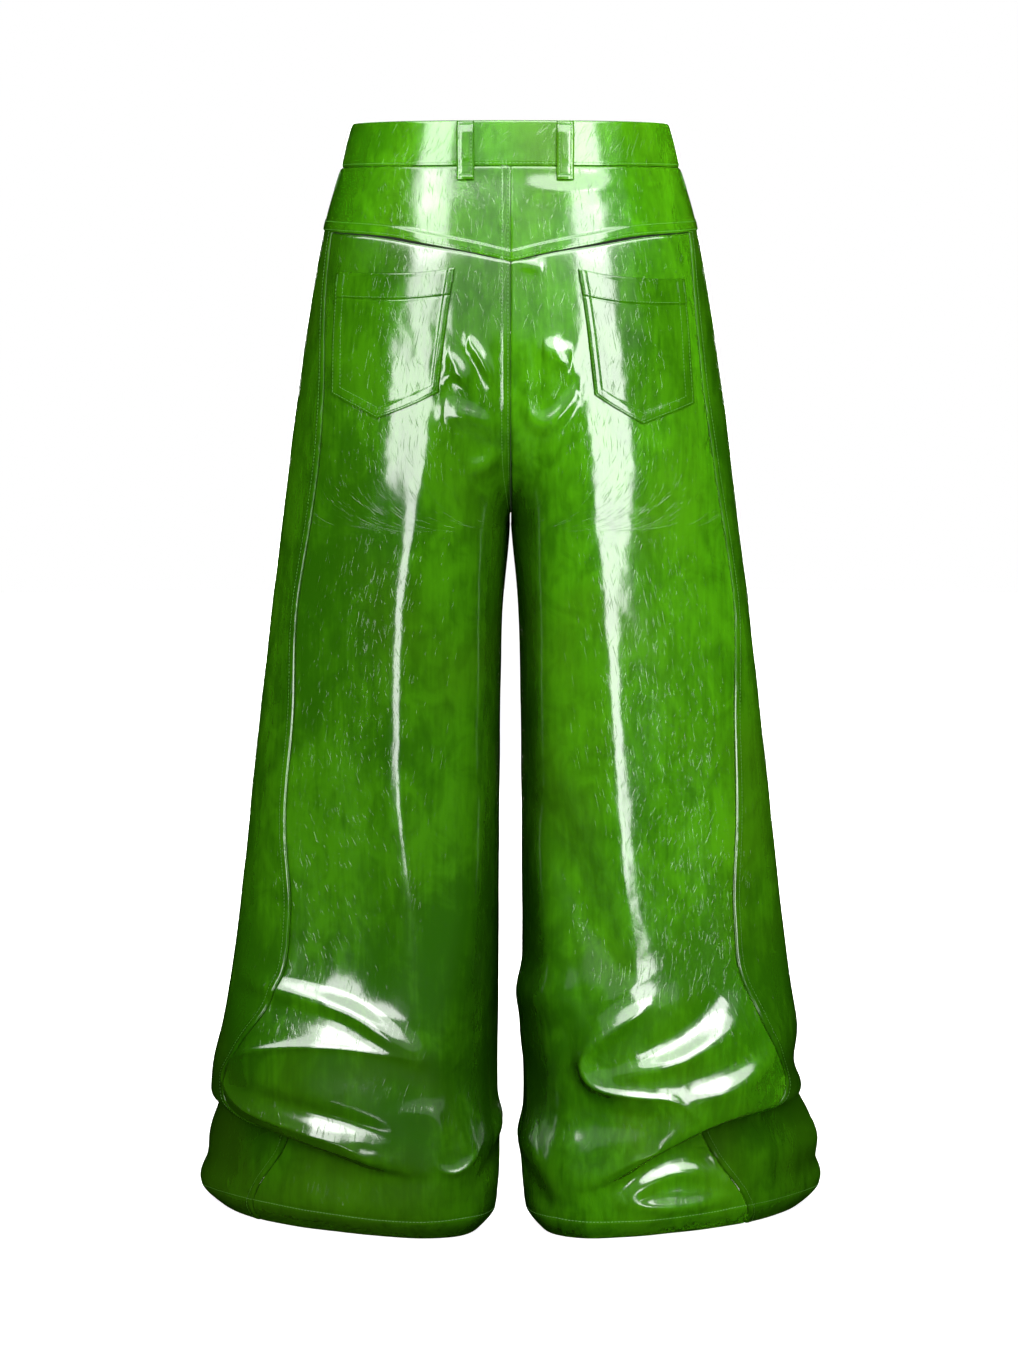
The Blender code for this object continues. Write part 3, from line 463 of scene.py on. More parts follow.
class GarmentForm:
    """The surface that every cloth piece lies on.

    In its methods side is the half, u is the place round it from the centre back, w is the place down
    the cloth and drop is how far that hangs below the waistband's top edge, all of shapes that go together.
    """

    def __init__(self) -> None:
        """The folds of both halves."""
        self.folds = {s: three_point_folds(FOLDS[s.value]) + CREASES[s.value] for s in Side}

    def section(self, name: str, drop: Array) -> Array:
        """One column of the section table; the inseam keeps the plain cubic, so that the legs stay apart."""
        curve = hermite if name == "inner" else spline
        return curve(drop, SECTIONS[:, 0], SECTIONS[:, SECTION_COLUMNS.index(name)])

    def side_seam(self, side: Side, w: Array) -> Array:
        """u of the side seam."""
        return hermite(w, SIDE_SEAM[:, 0], SIDE_SEAM[:, SIDE_COLUMNS.index(side.value)])

    def yoke_edge(self, u: Array) -> Array:
        """Drop of the yoke's lower edge."""
        return hermite(u, YOKE_EDGE[:, 0], YOKE_EDGE[:, 1])

    def front_top(self, u: Array) -> Array:
        """Drop of a front panel's top edge: along the yoke, then along the waistband."""
        ends = (YOKE_EDGE[-1, 1] + SEAM_GAP / 2.0, BAND_DROP + SEAM_GAP)
        return np.where(
            u < YOKE_FRONT, self.yoke_edge(u) + SEAM_GAP / 2.0, np.interp(u, (YOKE_FRONT, FRONT_TOP), ends)
        )

    def roll(self, side: Side, name: str, u: Array) -> Array:
        """One column of a leg's roll table."""
        table = ROLLS[side.value]
        return hermite(u, table[:, 0], table[:, ROLL_COLUMNS.index(name)])

    def ridge(self, side: Side, drop: Array) -> Array:
        """u of the ridge down the back of a leg."""
        return spline(drop, RIDGE[:, 0], RIDGE[:, RIDGE_COLUMNS.index(side.value)])

    def flank(self, side: Side, u: Array, drop: Array) -> Array:
        """How far the flank has fallen in: 1 - (1 - v)^3 of the rounded share v from ridge to outline.

        A flank that starts nearer the inseam is wider, and falls in so much more.
        """
        ridge, soft = self.ridge(side, drop), RIDGE_SOFT[side.value]
        across = np.minimum((u - ridge) / (0.5 - ridge), (1.0 - FRONT_RIDGE - u) / (0.5 - FRONT_RIDGE))
        part = np.minimum((across + np.sqrt(across**2 + soft**2)) / 2.0, 1.0)
        return (1.0 - (1.0 - part) ** 3) * (0.5 - ridge) / (0.5 - USUAL_RIDGE)

    def leg_ring(self, side: Side, u: Array, drop: Array) -> tuple[Array, Array]:
        """A leg's ring: a superellipse with its own reach in each quarter, flanks fallen in."""
        angle = 2.0 * math.pi * u
        cosine, sine = np.cos(angle), np.sin(angle)
        mid = self.section("mid", drop)
        inwards = mid - self.section("inner", drop)
        outwards = self.section("outer", drop) - mid
        across = outwards + (inwards - outwards) * ease(cosine + 0.5)
        front = self.section("front", drop)
        deep = front + (self.section("back", drop) - front) * ease(sine + 0.5)
        power = self.section("square", drop) + self.section("boxy", drop) * ease(1.5 * cosine)
        reach = ((np.abs(cosine) / across) ** power + (np.abs(sine) / deep) ** power) ** (-1.0 / power)
        fallen = 1.0 - self.section("flank", drop) * self.flank(side, u, drop)
        return mid - reach * cosine, -reach * sine * fallen

    def body_ring(self, u: Array, drop: Array) -> tuple[Array, Array]:
        """Half of the body's ring, a superellipse from centre back to centre front."""
        angle = math.pi * (u - BODY_TURN * np.sin(2.0 * math.pi * u))
        sine, cosine = np.sin(angle), np.cos(angle)
        front = self.section("front", drop)
        deep = front + (self.section("back", drop) - front) * ease(cosine + 0.5)
        wide = self.section("outer", drop)
        reach = (np.abs(sine) / wide) ** BODY_POWER + (np.abs(cosine) / deep) ** BODY_POWER
        reach = reach ** (-1.0 / BODY_POWER)
        return reach * sine, -reach * cosine

    def ring(self, side: Side, u: Array, drop: Array) -> tuple[Array, Array]:
        """The garment's section, a mix of leg ring and body ring.

        At the centre seam the mix follows a quarter circle, so the crotch seam hangs as a round curve;
        away from it the change is slow and smooth.
        """
        rise = np.clip((CROTCH_DROP - drop) / (CROTCH_DROP - HIP_DROP), 0.0, 1.0)
        round_seam = np.sqrt(rise * (2.0 - rise))
        slow = ease((JOINING[0] - drop) / (JOINING[0] - JOINING[1]))
        near = ease(1.0 - np.minimum(u, 1.0 - u) / SEAM_REACH)
        joined = slow + (round_seam - slow) * near
        leg_x, leg_y = self.leg_ring(side, u, drop)
        body_x, body_y = self.body_ring(u, drop)
        x = (1.0 - joined) * leg_x + joined * body_x
        y = (1.0 - joined) * leg_y + joined * body_y
        turn = ease((drop - HEM_SWING[0]) / HEM_SWING[1])
        return x, y + turn * (HEM_TURN * (x - HEM_PIVOT) + HEM_FORWARD)

    def waver(self, side: Side, u: Array, w: Array) -> Array:
        """Slow unevenness of hanging leather: a sum of a few sines of unlike lengths, under a millimetre."""
        shift = 0.7 if side is Side.LEFT else 2.9
        across, down = 2.0 * math.pi * u * GIRTH, 2.0 * math.pi * w
        low = ease((w - 0.10) / 0.15)
        slow = 0.00030 * np.sin(across / 0.061 + 0.9 * np.sin(down / 0.23 + shift) + shift)
        middle = 0.00012 * np.sin(down / 0.083 + 1.3 * np.sin(across / 0.11 + shift))
        fine = 0.00004 * np.sin(across / 0.023 + 2.1 * np.sin(down / 0.047) + 2.0 * shift)
        edges = ease(np.minimum(u, 1.0 - u) / 0.03)
        return (slow + middle + fine) * low * edges

    def surface(self, side: Side, u: Array, w: Array) -> Array:
        """Points of the garment surface.

        Down the leg the cloth drops, and in a roll it runs level while its height swings out and in.

        Args:
            side: which half.
            u: places round it.
            w: places down the cloth, of a shape that goes with u.

        Returns:
            Points, one more axis than u.
        """
        u, w = np.broadcast_arrays(np.asarray(u, float), np.asarray(w, float))
        bulge = np.clip(self.roll(side, "bulge", u), 0.0, None)
        slack = ROLL_REACH * (ROLL_SLACK[0] + ROLL_SLACK[1] * bulge)
        cloth = w + np.clip(w - SLACK_DROP, 0.0, None) * slack / (FLOOR_DROP - SLACK_DROP)
        pull = (cloth - self.roll(side, "edge", u) - slack / 2.0) / ROLL_REACH
        drop = cloth - slack * ease_plain((pull + 1.0) / 2.0)
        height = -bulge * pull * np.exp(0.5 * (1.0 - pull**2)) + self.waver(side, u, w)
        for fold in self.folds[side]:
            height = height + fold.relief(u, drop)
        x, y = self.ring(side, u, drop)
        before_x, before_y = self.ring(side, u - 1e-4, drop)
        after_x, after_y = self.ring(side, u + 1e-4, drop)
        way_x, way_y = after_x - before_x, after_y - before_y
        length = np.hypot(way_x, way_y)
        x = x + height * way_y / length + SEAM_GAP / 2.0
        y = y - height * way_x / length
        return np.stack([x * side.sign, y, -drop], axis=-1)

    def stretch(self, side: Side, u: Array, w: Array) -> Array:
        """Metres across the cloth for one whole u."""
        step = 1e-3
        way = self.surface(side, u + step, w) - self.surface(side, u - step, w)
        return np.linalg.norm(way, axis=-1) / (2.0 * step)

    def outward(self, side: Side, u: Array, w: Array) -> Array:
        """Unit normals that point out of the hollow, from differences across and down."""
        step = 4e-4
        across = self.surface(side, u + step, w) - self.surface(side, u - step, w)
        down = self.surface(side, u, w + step) - self.surface(side, u, w - step)
        normal = np.cross(across, down) * -side.sign
        return normal / np.linalg.norm(normal, axis=-1, keepdims=True)

    def lifted(self, side: Side, u: Array, w: Array, lift: Array | float) -> Array:
        """Points of the garment surface moved out by lift."""
        u, w = np.broadcast_arrays(np.asarray(u, float), np.asarray(w, float))
        lift = np.broadcast_to(lift, u.shape)
        return self.surface(side, u, w) + self.outward(side, u, w) * lift[..., None]


FORM = GarmentForm()


def spread_along(path: Array) -> Array:
    """Distance from the first point of each row along the grid's second axis."""
    steps = np.linalg.norm(np.diff(path, axis=1), axis=-1)
    return np.concatenate([np.zeros((len(path), 1)), np.cumsum(steps, axis=1)], axis=1)


def grid_normals(points: Array, flip: float) -> Array:
    """Unit normals of a point grid from its own differences down and across."""
    down, across = np.gradient(points, axis=0), np.gradient(points, axis=1)
    normal = np.cross(across, down) * flip
    return normal / np.linalg.norm(normal, axis=-1, keepdims=True)


def fitted(places: Array, start: int, step: int = 2) -> Array:
    """Places without the few that keep them from whole inner steps, every step-th one from start."""
    spare = (len(places) - 1) % SKIP
    return np.delete(places, start + step * np.arange(spare), axis=0)


def grid_quads(number: Array) -> Array:
    """Quads between the neighbours on a grid of vertex numbers."""
    corners = [number[:-1, :-1], number[1:, :-1], number[1:, 1:], number[:-1, 1:]]
    return np.stack(corners, axis=-1).reshape(-1, 4)


def tube_quads(number: Array) -> Array:
    """Quads between closed rings of vertex numbers, one ring a row."""
    turned = np.roll(number, -1, axis=1)
    return np.stack([number[:-1], number[1:], turned[1:], turned[:-1]], axis=-1).reshape(-1, 4)


def mesh_object(
    name: str,
    points: Array,
    faces: list[Array],
    materials: list[Material],
    slots: tuple[int, ...] = (),
    uv: Array | None = None,
) -> Piece:
    """A smooth-shaded mesh piece from whole arrays.

    Args:
        name: the piece's name.
        points: vertices, their x, y and z on the last axis.
        faces: groups of faces, each an array of vertex numbers with one row a face.
        materials: material slots.
        slots: the slot of each group of faces, or nothing where all have the first one.
        uv: a place on the cloth in metres for each vertex, or None.

    Returns:
        The new object, linked to the scene.
    """
    mesh = bpy.data.meshes.new(name)
    sizes = np.concatenate([np.full(len(f), f.shape[1]) for f in faces])
    corners = np.concatenate([f.ravel() for f in faces]).astype(np.int32)
    slot = np.concatenate([np.full(len(f), s) for f, s in zip(faces, slots or (0,) * len(faces))])
    mesh.vertices.add(points.size // 3)
    mesh.vertices.foreach_set("co", points.astype(np.float32).ravel())
    mesh.loops.add(len(corners))
    mesh.loops.foreach_set("vertex_index", corners)
    mesh.polygons.add(len(sizes))
    mesh.polygons.foreach_set("loop_start", np.concatenate([[0], np.cumsum(sizes)[:-1]]).astype(np.int32))
    mesh.polygons.foreach_set("use_smooth", np.ones(len(sizes), bool))
    for material in materials:
        mesh.materials.append(material)
    mesh.polygons.foreach_set("material_index", slot.astype(np.int32))
    mesh.update(calc_edges=True)
    if uv is not None:
        layer = mesh.uv_layers.new(name="cloth")
        layer.data.foreach_set("uv", uv[corners].astype(np.float32).ravel())
    mesh.validate()
    piece = bpy.data.objects.new(name, mesh)
    bpy.context.scene.collection.objects.link(piece)
    return piece


@dataclass
class Shell:
    """A closed sheet of cloth between a fine outer grid and a coarser inner one.

    Attributes:
        name: the piece's name.
        outer: outer points, rows by columns.
        inner: inner points on the same grid, of which each SKIP-th row and column is used.
        uv: places on the cloth in metres for the grid.
    """

    name: str
    outer: Array
    inner: Array
    uv: Array

    def faces(self) -> list[Array]:
        """Quads of both sides and the rim's polygons, each rim polygon spanning one inner step."""
        number = np.arange(self.outer[..., 0].size).reshape(self.outer.shape[:2])
        few = self.inner[::SKIP, ::SKIP, 0]
        inside = np.arange(few.size).reshape(few.shape) + number.size
        rims = []
        for fine, coarse in (
            (number[0], inside[0]),
            (number[:, -1], inside[:, -1]),
            (number[-1, ::-1], inside[-1, ::-1]),
            (number[::-1, 0], inside[::-1, 0]),
        ):
            start = np.arange(0, len(fine) - 1, SKIP)[:, None] + np.arange(SKIP + 1)[None, :]
            rims.append(np.concatenate([fine[start], coarse[1:, None], coarse[:-1, None]], axis=1))
        row, column = number.shape[0] // 2, number.shape[1] // 2
        here = self.outer[row, column]
        down, along = self.outer[row + 1, column] - here, self.outer[row, column + 1] - here
        groups = [grid_quads(number), grid_quads(inside)[:, ::-1], np.concatenate(rims)]
        if np.dot(np.cross(down, along), here - self.inner[row, column]) < 0:
            groups = [g[:, ::-1] for g in groups]
        return groups

    def build(self, face: Material, back: Material) -> Piece:
        """The shell as a mesh piece.

        Args:
            face: finish of the outer side and the rim.
            back: finish of the inner side.

        Returns:
            The new object.
        """
        points = np.concatenate([self.outer.reshape(-1, 3), self.inner[::SKIP, ::SKIP].reshape(-1, 3)])
        uv = np.concatenate([self.uv.reshape(-1, 2), self.uv[::SKIP, ::SKIP].reshape(-1, 2)])
        return mesh_object(self.name, points, self.faces(), [face, back], (0, 1, 0), uv)


WELT_SLOPE = 0.0022
GROOVE = 0.00032  # how deep a row of stitches pulls the leather down
GROOVE_WIDTH = 0.0008


@dataclass(frozen=True)
class SeamEdge:
    """Relief of the cloth beside one sewn edge, told by the distance from it.

    Attributes:
        tuck: how far the edge turns down into the seam.
        reach: how far from the edge that is felt.
        welt: height of the seam allowance underneath.
        width: how far the allowance reaches.
        rows: distances of the stitch rows from the edge.
    """

    tuck: float = 0.0008
    reach: float = 0.0012
    welt: float = 0.0
    width: float = 0.0
    rows: tuple[float, ...] = ()

    def height(self, distance: Array) -> Array:
        """-tuck exp(-(d/reach)^2), plus the welt's plateau, less a groove at each stitch row."""
        total = -self.tuck * np.exp(-((distance / self.reach) ** 2))
        if self.width > 0.0:
            total = total + self.welt * ease((self.width - distance) / WELT_SLOPE)
        for row in self.rows:
            total = total - GROOVE * np.exp(-(((distance - row) / GROOVE_WIDTH) ** 2))
        return total


# Distances of the close rows and columns beside a sewn edge.
NEAR = np.array([0.0, 3, 7, 12, 18, 25, 33, 42, 52, 60, 67, 74, 82, 92, 106, 124]) * 1e-4
PLAIN = SeamEdge()
HEM = SeamEdge(tuck=0.0007, rows=(HEM_HEIGHT,))
HEM_STEP = (0.0006, 0.0012, 0.0020)  # height of the doubled hem, how far it passes its row, and its slope
HEM_FADE = 0.004  # over which the hem's wall thickens inwards
CENTRE_BACK = {Side.LEFT: SeamEdge(welt=0.0006, width=0.0098, rows=(0.0022, 0.0078)), Side.RIGHT: PLAIN}
CENTRE_END = (0.006, 0.008)  # how far above the crotch the centre back's welt ends, and over how much
CENTRE_STITCH_END = 0.010  # how far above the crotch its stitches end
FRONT_SIDE = SeamEdge(welt=0.0005, width=0.0086, rows=(0.0064,))
YOKE_FOOT = SeamEdge(welt=0.0006, width=0.0112, rows=(0.0019, 0.0093))
YOKE_TIP = 0.024  # height of the yoke below which its close rows draw together
SIDE_TACKS = (0.474, 0.484)  # u of two upright bartacks under the waistband at each side
SIDE_TACK_SPAN = (0.0445, 0.0600)
TACK_STEPS = 12
BAND_FOOT = SeamEdge(tuck=0.0006, rows=(0.0019,))
POCKET_EDGE = SeamEdge(tuck=0.0007, reach=0.0010, welt=0.0006, width=0.0105, rows=(0.0018, 0.0088))
POCKET_HEM = 0.0235  # the turned top of a back pocket
POCKET_HEM_ROWS = np.array([-25, -18, -12, -6, 0, 6, 12, 18, 25]) * 1e-4  # close rows beside its foot
POCKET_TURN = 0.0022  # how far the stitches lie from a turned edge
LOOP_EDGE = SeamEdge(tuck=0.0008, reach=0.0010, rows=(0.0024,))
LOOP_HELD = 0.0035  # distance of a loop's bartacks from its ends
CENTRE_TOP = BAND_DROP + 0.002  # w from which the pieces behind the centre front hang
SHIELD_DROP = -0.0052  # height of the shield's free middle, behind the zip
FLY_ROWS = (0.0300, 0.0330)  # distances of the fly's stitch rows from the centre front
FLY_STRAIGHT = 0.155  # w where the fly's rows begin to turn to the centre
FLY_TURN = 0.032
FLY_SPAN = (BAND_DROP + 0.004, FLY_STRAIGHT + FLY_TURN * 0.995)  # w of the rows' ends
FLY_STEPS = 160
FLY_PLACE = 0.97  # u by which their width is told
FLY_LIFT = 0.0004
FLY_STEP = (0.0005, 0.0014)  # how far the fly's shield raises the leather, and the width of its slope


@dataclass(frozen=True)
class Stitch:
    """One kind of sewing.

    Attributes:
        pitch: metres from one stitch to the next.
        length: metres of thread that show.
        radius: half the thread's thickness.
        crosswise: True where the stitches lie across their line, as in a bartack.
    """

    pitch: float = 0.0033
    length: float = 0.0024
    radius: float = 0.00028
    crosswise: bool = False


TOPSTITCH = Stitch()
BARTACK = Stitch(pitch=0.00055, length=0.0022, radius=0.00024, crosswise=True)
STITCH_SIDES = 6
STITCH_RINGS = np.array([-0.5, -0.40, -0.2, 0.2, 0.40, 0.5])  # places along a stitch, for its length
STITCH_GIRTH = np.array([0.35, 0.85, 1.0, 1.0, 0.85, 0.35])
STITCH_FLAT = 0.8  # height of the thread for its width
STITCH_RISE = 0.00014  # height of its middle over the leather
STITCH_DIVE = 0.00030  # how far its ends go down from there
STITCH_STEP = 4e-4  # over which a seam's direction is told


@dataclass
class Seam:
    """One row of stitches along a dense line of points, with the outward normals there."""

    points: Array
    normals: Array
    stitch: Stitch = TOPSTITCH

    def only(self, wanted: Array) -> "Seam":
        """The seam at the wanted points alone."""
        return Seam(self.points[wanted], self.normals[wanted], self.stitch)

    def places(self) -> tuple[Array, Array, Array]:
        """Middles, directions and normals of the stitches, evenly spaced along the line."""
        way = way_along(self.points)
        count = max(int(way[-1] / self.stitch.pitch), 1)
        at = (np.arange(count) + 0.5) * way[-1] / count

        def read(table: Array, where: Array) -> Array:
            """A table's rows at distances along the line."""
            return np.stack([np.interp(where, way, table[:, k]) for k in range(3)], axis=1)

        along = read(self.points, at + STITCH_STEP) - read(self.points, at - STITCH_STEP)
        along /= np.linalg.norm(along, axis=1, keepdims=True)
        normal = read(self.normals, at)
        normal -= along * (along * normal).sum(1, keepdims=True)
        normal /= np.linalg.norm(normal, axis=1, keepdims=True)
        if self.stitch.crosswise:
            along = np.cross(normal, along)
        return read(self.points, at), along, normal

    def tubes(self) -> Array:
        """Points of the stitches: six-sided tubes that narrow and dive at both ends, count by 6 by 6 by 3."""
        middle, along, normal = self.places()
        across = np.cross(along, normal)
        angle = np.linspace(0.0, 2.0 * math.pi, STITCH_SIDES, endpoint=False)
        girth = STITCH_GIRTH[:, None] * self.stitch.radius
        aside = girth * np.cos(angle)
        dive = STITCH_DIVE * (2.0 * STITCH_RINGS[:, None]) ** 4
        above = STITCH_FLAT * girth * np.sin(angle) + STITCH_RISE - dive
        ahead = np.broadcast_to(STITCH_RINGS[:, None] * self.stitch.length, aside.shape)
        return (
            middle[:, None, None]
            + along[:, None, None] * ahead[None, ..., None]
            + across[:, None, None] * aside[None, ..., None]
            + normal[:, None, None] * above[None, ..., None]
        )


class Sewing:
    """Collects the seams of every node and makes one piece of thread for each."""

    def __init__(self) -> None:
        """No seams yet."""
        self.seams: dict[str, list[Seam]] = {}

    def add(self, node: str, seam: Seam) -> None:
        """Keeps a seam for a node's thread."""
        self.seams.setdefault(node, []).append(seam)

    def build(self, material: Material) -> None:
        """One mesh of small rounded dashes for each node."""
        for node, seams in self.seams.items():
            tubes = np.concatenate([seam.tubes() for seam in seams])
            each = STITCH_SIDES * len(STITCH_RINGS)
            number = np.arange(each).reshape(len(STITCH_RINGS), STITCH_SIDES)
            caps = np.stack([number[0], number[-1, ::-1]])
            start = (np.arange(len(tubes)) * each)[:, None, None]
            walls = (tube_quads(number)[None] + start).reshape(-1, 4)
            faces = [walls, (caps[None] + start).reshape(-1, STITCH_SIDES)]
            piece = mesh_object(node + "_thread", tubes, faces, [material])
            dress(piece)
            report(piece, f"{len(tubes)} stitches")


def seam_at(points: Array, normals: Array, distance: Array, place: float) -> Seam:
    """A seam where each row of a grid reaches a distance.

    Args:
        points: a grid's points.
        normals: its normals.
        distance: distance along each row, growing.
        place: the distance sought.

    Returns:
        The seam, with one point for each row.
    """
    after = np.clip((distance < place).sum(axis=1), 1, distance.shape[1] - 1)[:, None]
    near, far = np.take_along_axis(distance, after - 1, 1), np.take_along_axis(distance, after, 1)
    part = ((place - near) / (far - near))[..., None]

    def read(grid: Array) -> Array:
        """A grid's values at the place on each row."""
        low = np.take_along_axis(grid, (after - 1)[..., None], 1)
        high = np.take_along_axis(grid, after[..., None], 1)
        return (low + (high - low) * part)[:, 0]

    return Seam(read(points), read(normals))


def seam_over_foot(points: Array, normals: Array, up: Array, place: float) -> Seam:
    """A seam at a height over a grid's foot, with one point for each column."""
    return seam_at(*(grid.swapaxes(0, 1)[:, ::-1] for grid in (points, normals, up)), place)


def seam_on(side: Side, u: Array, w: Array, lift: Array | float, stitch: Stitch = TOPSTITCH) -> Seam:
    """A seam along (u, w) at a lift above the garment surface."""
    normals = FORM.outward(side, u, w)
    lift = np.broadcast_to(lift, np.shape(u))
    return Seam(FORM.surface(side, u, w) + normals * lift[:, None], normals, stitch)


@dataclass(frozen=True)
class Grain:
    """A noise pattern.

    Attributes:
        scale: cells for each metre along the three axes.
        detail: how many finer layers it has.
        rough: how strong the finer layers are.
        warp: how far it is drawn out of shape.
        turn: degrees turned about Z.
        cloth: True to follow the cloth's own map, False for the object's coordinates.
    """

    scale: Triple
    detail: float
    rough: float
    warp: float = 0.0
    turn: float = 0.0
    cloth: bool = False


MIX_SHARE, MIX_FIRST, MIX_SECOND = 0, 6, 7  # inputs of a Mix node for colours
MIX_COLOUR = 2  # its output


class Nodes:
    """A material's node tree with short words for what these finishes are made of."""

    def __init__(self, name: str) -> None:
        """A new material of that name."""
        self.material = bpy.data.materials.new(name)
        self.material.use_nodes = True
        self.tree = self.material.node_tree
        self.shader = self.tree.nodes["Principled BSDF"]

    def add(self, kind: str, **values: object) -> bpy.types.Node:
        """A node with some of its settings."""
        node = self.tree.nodes.new("ShaderNode" + kind)
        for key, value in values.items():
            setattr(node, key, value)
        return node

    def link(self, start: Socket, end: Socket) -> None:
        """Joins two sockets."""
        self.tree.links.new(start, end)

    def feed(self, start: Socket, *names: str) -> None:
        """Joins a socket to inputs of the shader."""
        for name in names:
            self.link(start, self.shader.inputs[name])

    def fix(self, values: dict[str, object]) -> None:
        """Sets inputs of the shader that are the same all over."""
        for name, value in values.items():
            self.shader.inputs[name].default_value = value

    def place(self, scale: Triple = (1.0, 1.0, 1.0), turn: float = 0.0, cloth: bool = False) -> Socket:
        """Coordinates in metres, turned by degrees about Z and then scaled.

        Args:
            scale: times for each metre along each axis.
            turn: degrees.
            cloth: True to follow the cloth's map, False for the object's coordinates.

        Returns:
            The vector socket.
        """
        source = self.add("TexCoord")
        turned = self.add("Mapping")
        turned.inputs["Rotation"].default_value = (0.0, 0.0, math.radians(turn))
        scaled = self.add("Mapping")
        scaled.inputs["Scale"].default_value = scale
        self.link(source.outputs["UV" if cloth else "Object"], turned.inputs["Vector"])
        self.link(turned.outputs["Vector"], scaled.inputs["Vector"])
        return scaled.outputs["Vector"]

    def noise(self, grain: Grain) -> Socket:
        """A grain's value, from 0 to 1."""
        node = self.add("TexNoise")
        node.inputs["Scale"].default_value = 1.0
        node.inputs["Detail"].default_value = grain.detail
        node.inputs["Roughness"].default_value = grain.rough
        node.inputs["Distortion"].default_value = grain.warp
        self.link(self.place(grain.scale, grain.turn, grain.cloth), node.inputs["Vector"])
        return node.outputs["Fac"]

    def span(self, value: Socket, low: float, high: float, to: Pair = (0.0, 1.0)) -> Socket:
        """A value from low to high mapped smoothly on another range."""
        node = self.add("MapRange", interpolation_type="SMOOTHSTEP")
        for key, number in (("From Min", low), ("From Max", high), ("To Min", to[0]), ("To Max", to[1])):
            node.inputs[key].default_value = number
        self.link(value, node.inputs["Value"])
        return node.outputs["Result"]

    def maths(self, kind: str, *values: Socket | float) -> Socket:
        """A Math node of sockets or numbers."""
        node = self.add("Math", operation=kind)
        for socket, value in zip(node.inputs, values):
            if isinstance(value, (int, float)):
                socket.default_value = value
            else:
                self.link(value, socket)
        return node.outputs["Value"]

    def weighed(self, *parts: tuple[Socket, float]) -> Socket:
        """The sum of values, each times its weight."""
        total = self.maths("MULTIPLY", *parts[0])
        for part in parts[1:]:
            total = self.maths("ADD", total, self.maths("MULTIPLY", *part))
        return total

    def blend(self, share: Socket, first: object, second: object) -> Socket:
        """A mix of two colours, each a socket or a colour."""
        node = self.add("Mix", data_type="RGBA")
        self.link(share, node.inputs[MIX_SHARE])
        for socket, value in ((node.inputs[MIX_FIRST], first), (node.inputs[MIX_SECOND], second)):
            if isinstance(value, tuple):
                socket.default_value = (*value, 1.0)
            else:
                self.link(value, socket)
        return node.outputs[MIX_COLOUR]

    def bump(self, height: Socket, distance: float, strength: float, below: Socket | None = None) -> Socket:
        """A bump from a height socket, distance in metres for 1 and felt by its strength, over another."""
        node = self.add("Bump")
        node.inputs["Distance"].default_value = distance
        node.inputs["Strength"].default_value = strength
        self.link(height, node.inputs["Height"])
        if below is not None:
            self.link(below, node.inputs["Normal"])
        return node.outputs["Normal"]


DYE_CLOUDS = Grain((9.0, 9.0, 5.0), 5.0, 0.62, 0.6)
DYE_MOTTLE = Grain((42.0, 42.0, 26.0), 4.0, 0.6, 0.8)
DYE_STREAKS = Grain((260.0, 260.0, 22.0), 2.0, 0.5)
OLIVE_CLOUDS = Grain((6.0, 6.0, 3.2), 2.0, 0.5, 0.4)
HAIR_SCRATCHES = Grain((900.0, 45.0, 1.0), 2.0, 0.5, turn=8.0, cloth=True)
CROSS_SCRATCHES = Grain((700.0, 60.0, 1.0), 2.0, 0.5, turn=-24.0, cloth=True)
CRINKLE = Grain((120.0, 120.0, 80.0), 3.0, 0.55, 0.5)
LEATHER_GRAIN = Grain((900.0, 900.0, 900.0), 2.0, 0.5)
NAP = Grain((700.0, 700.0, 500.0), 3.0, 0.6)
NAP_CLOUDS = Grain((30.0, 30.0, 30.0), 3.0, 0.5)
THREAD_TWIST = Grain((2600.0, 2600.0, 2600.0), 1.0, 0.5)
BRUSH_MARKS = Grain((4000.0, 300.0, 300.0), 2.0, 0.6)
TARNISH_CLOUDS = Grain((300.0, 300.0, 300.0), 3.0, 0.6)
FLOOR_SPECKS = Grain((3.0, 3.0, 3.0), 2.0, 0.5)
FLAG_WEAVE = Grain((300.0, 300.0, 300.0), 2.0, 0.5)
TAPE_SCALE = (320.0, 320.0, 320.0)  # of the ribs' waves


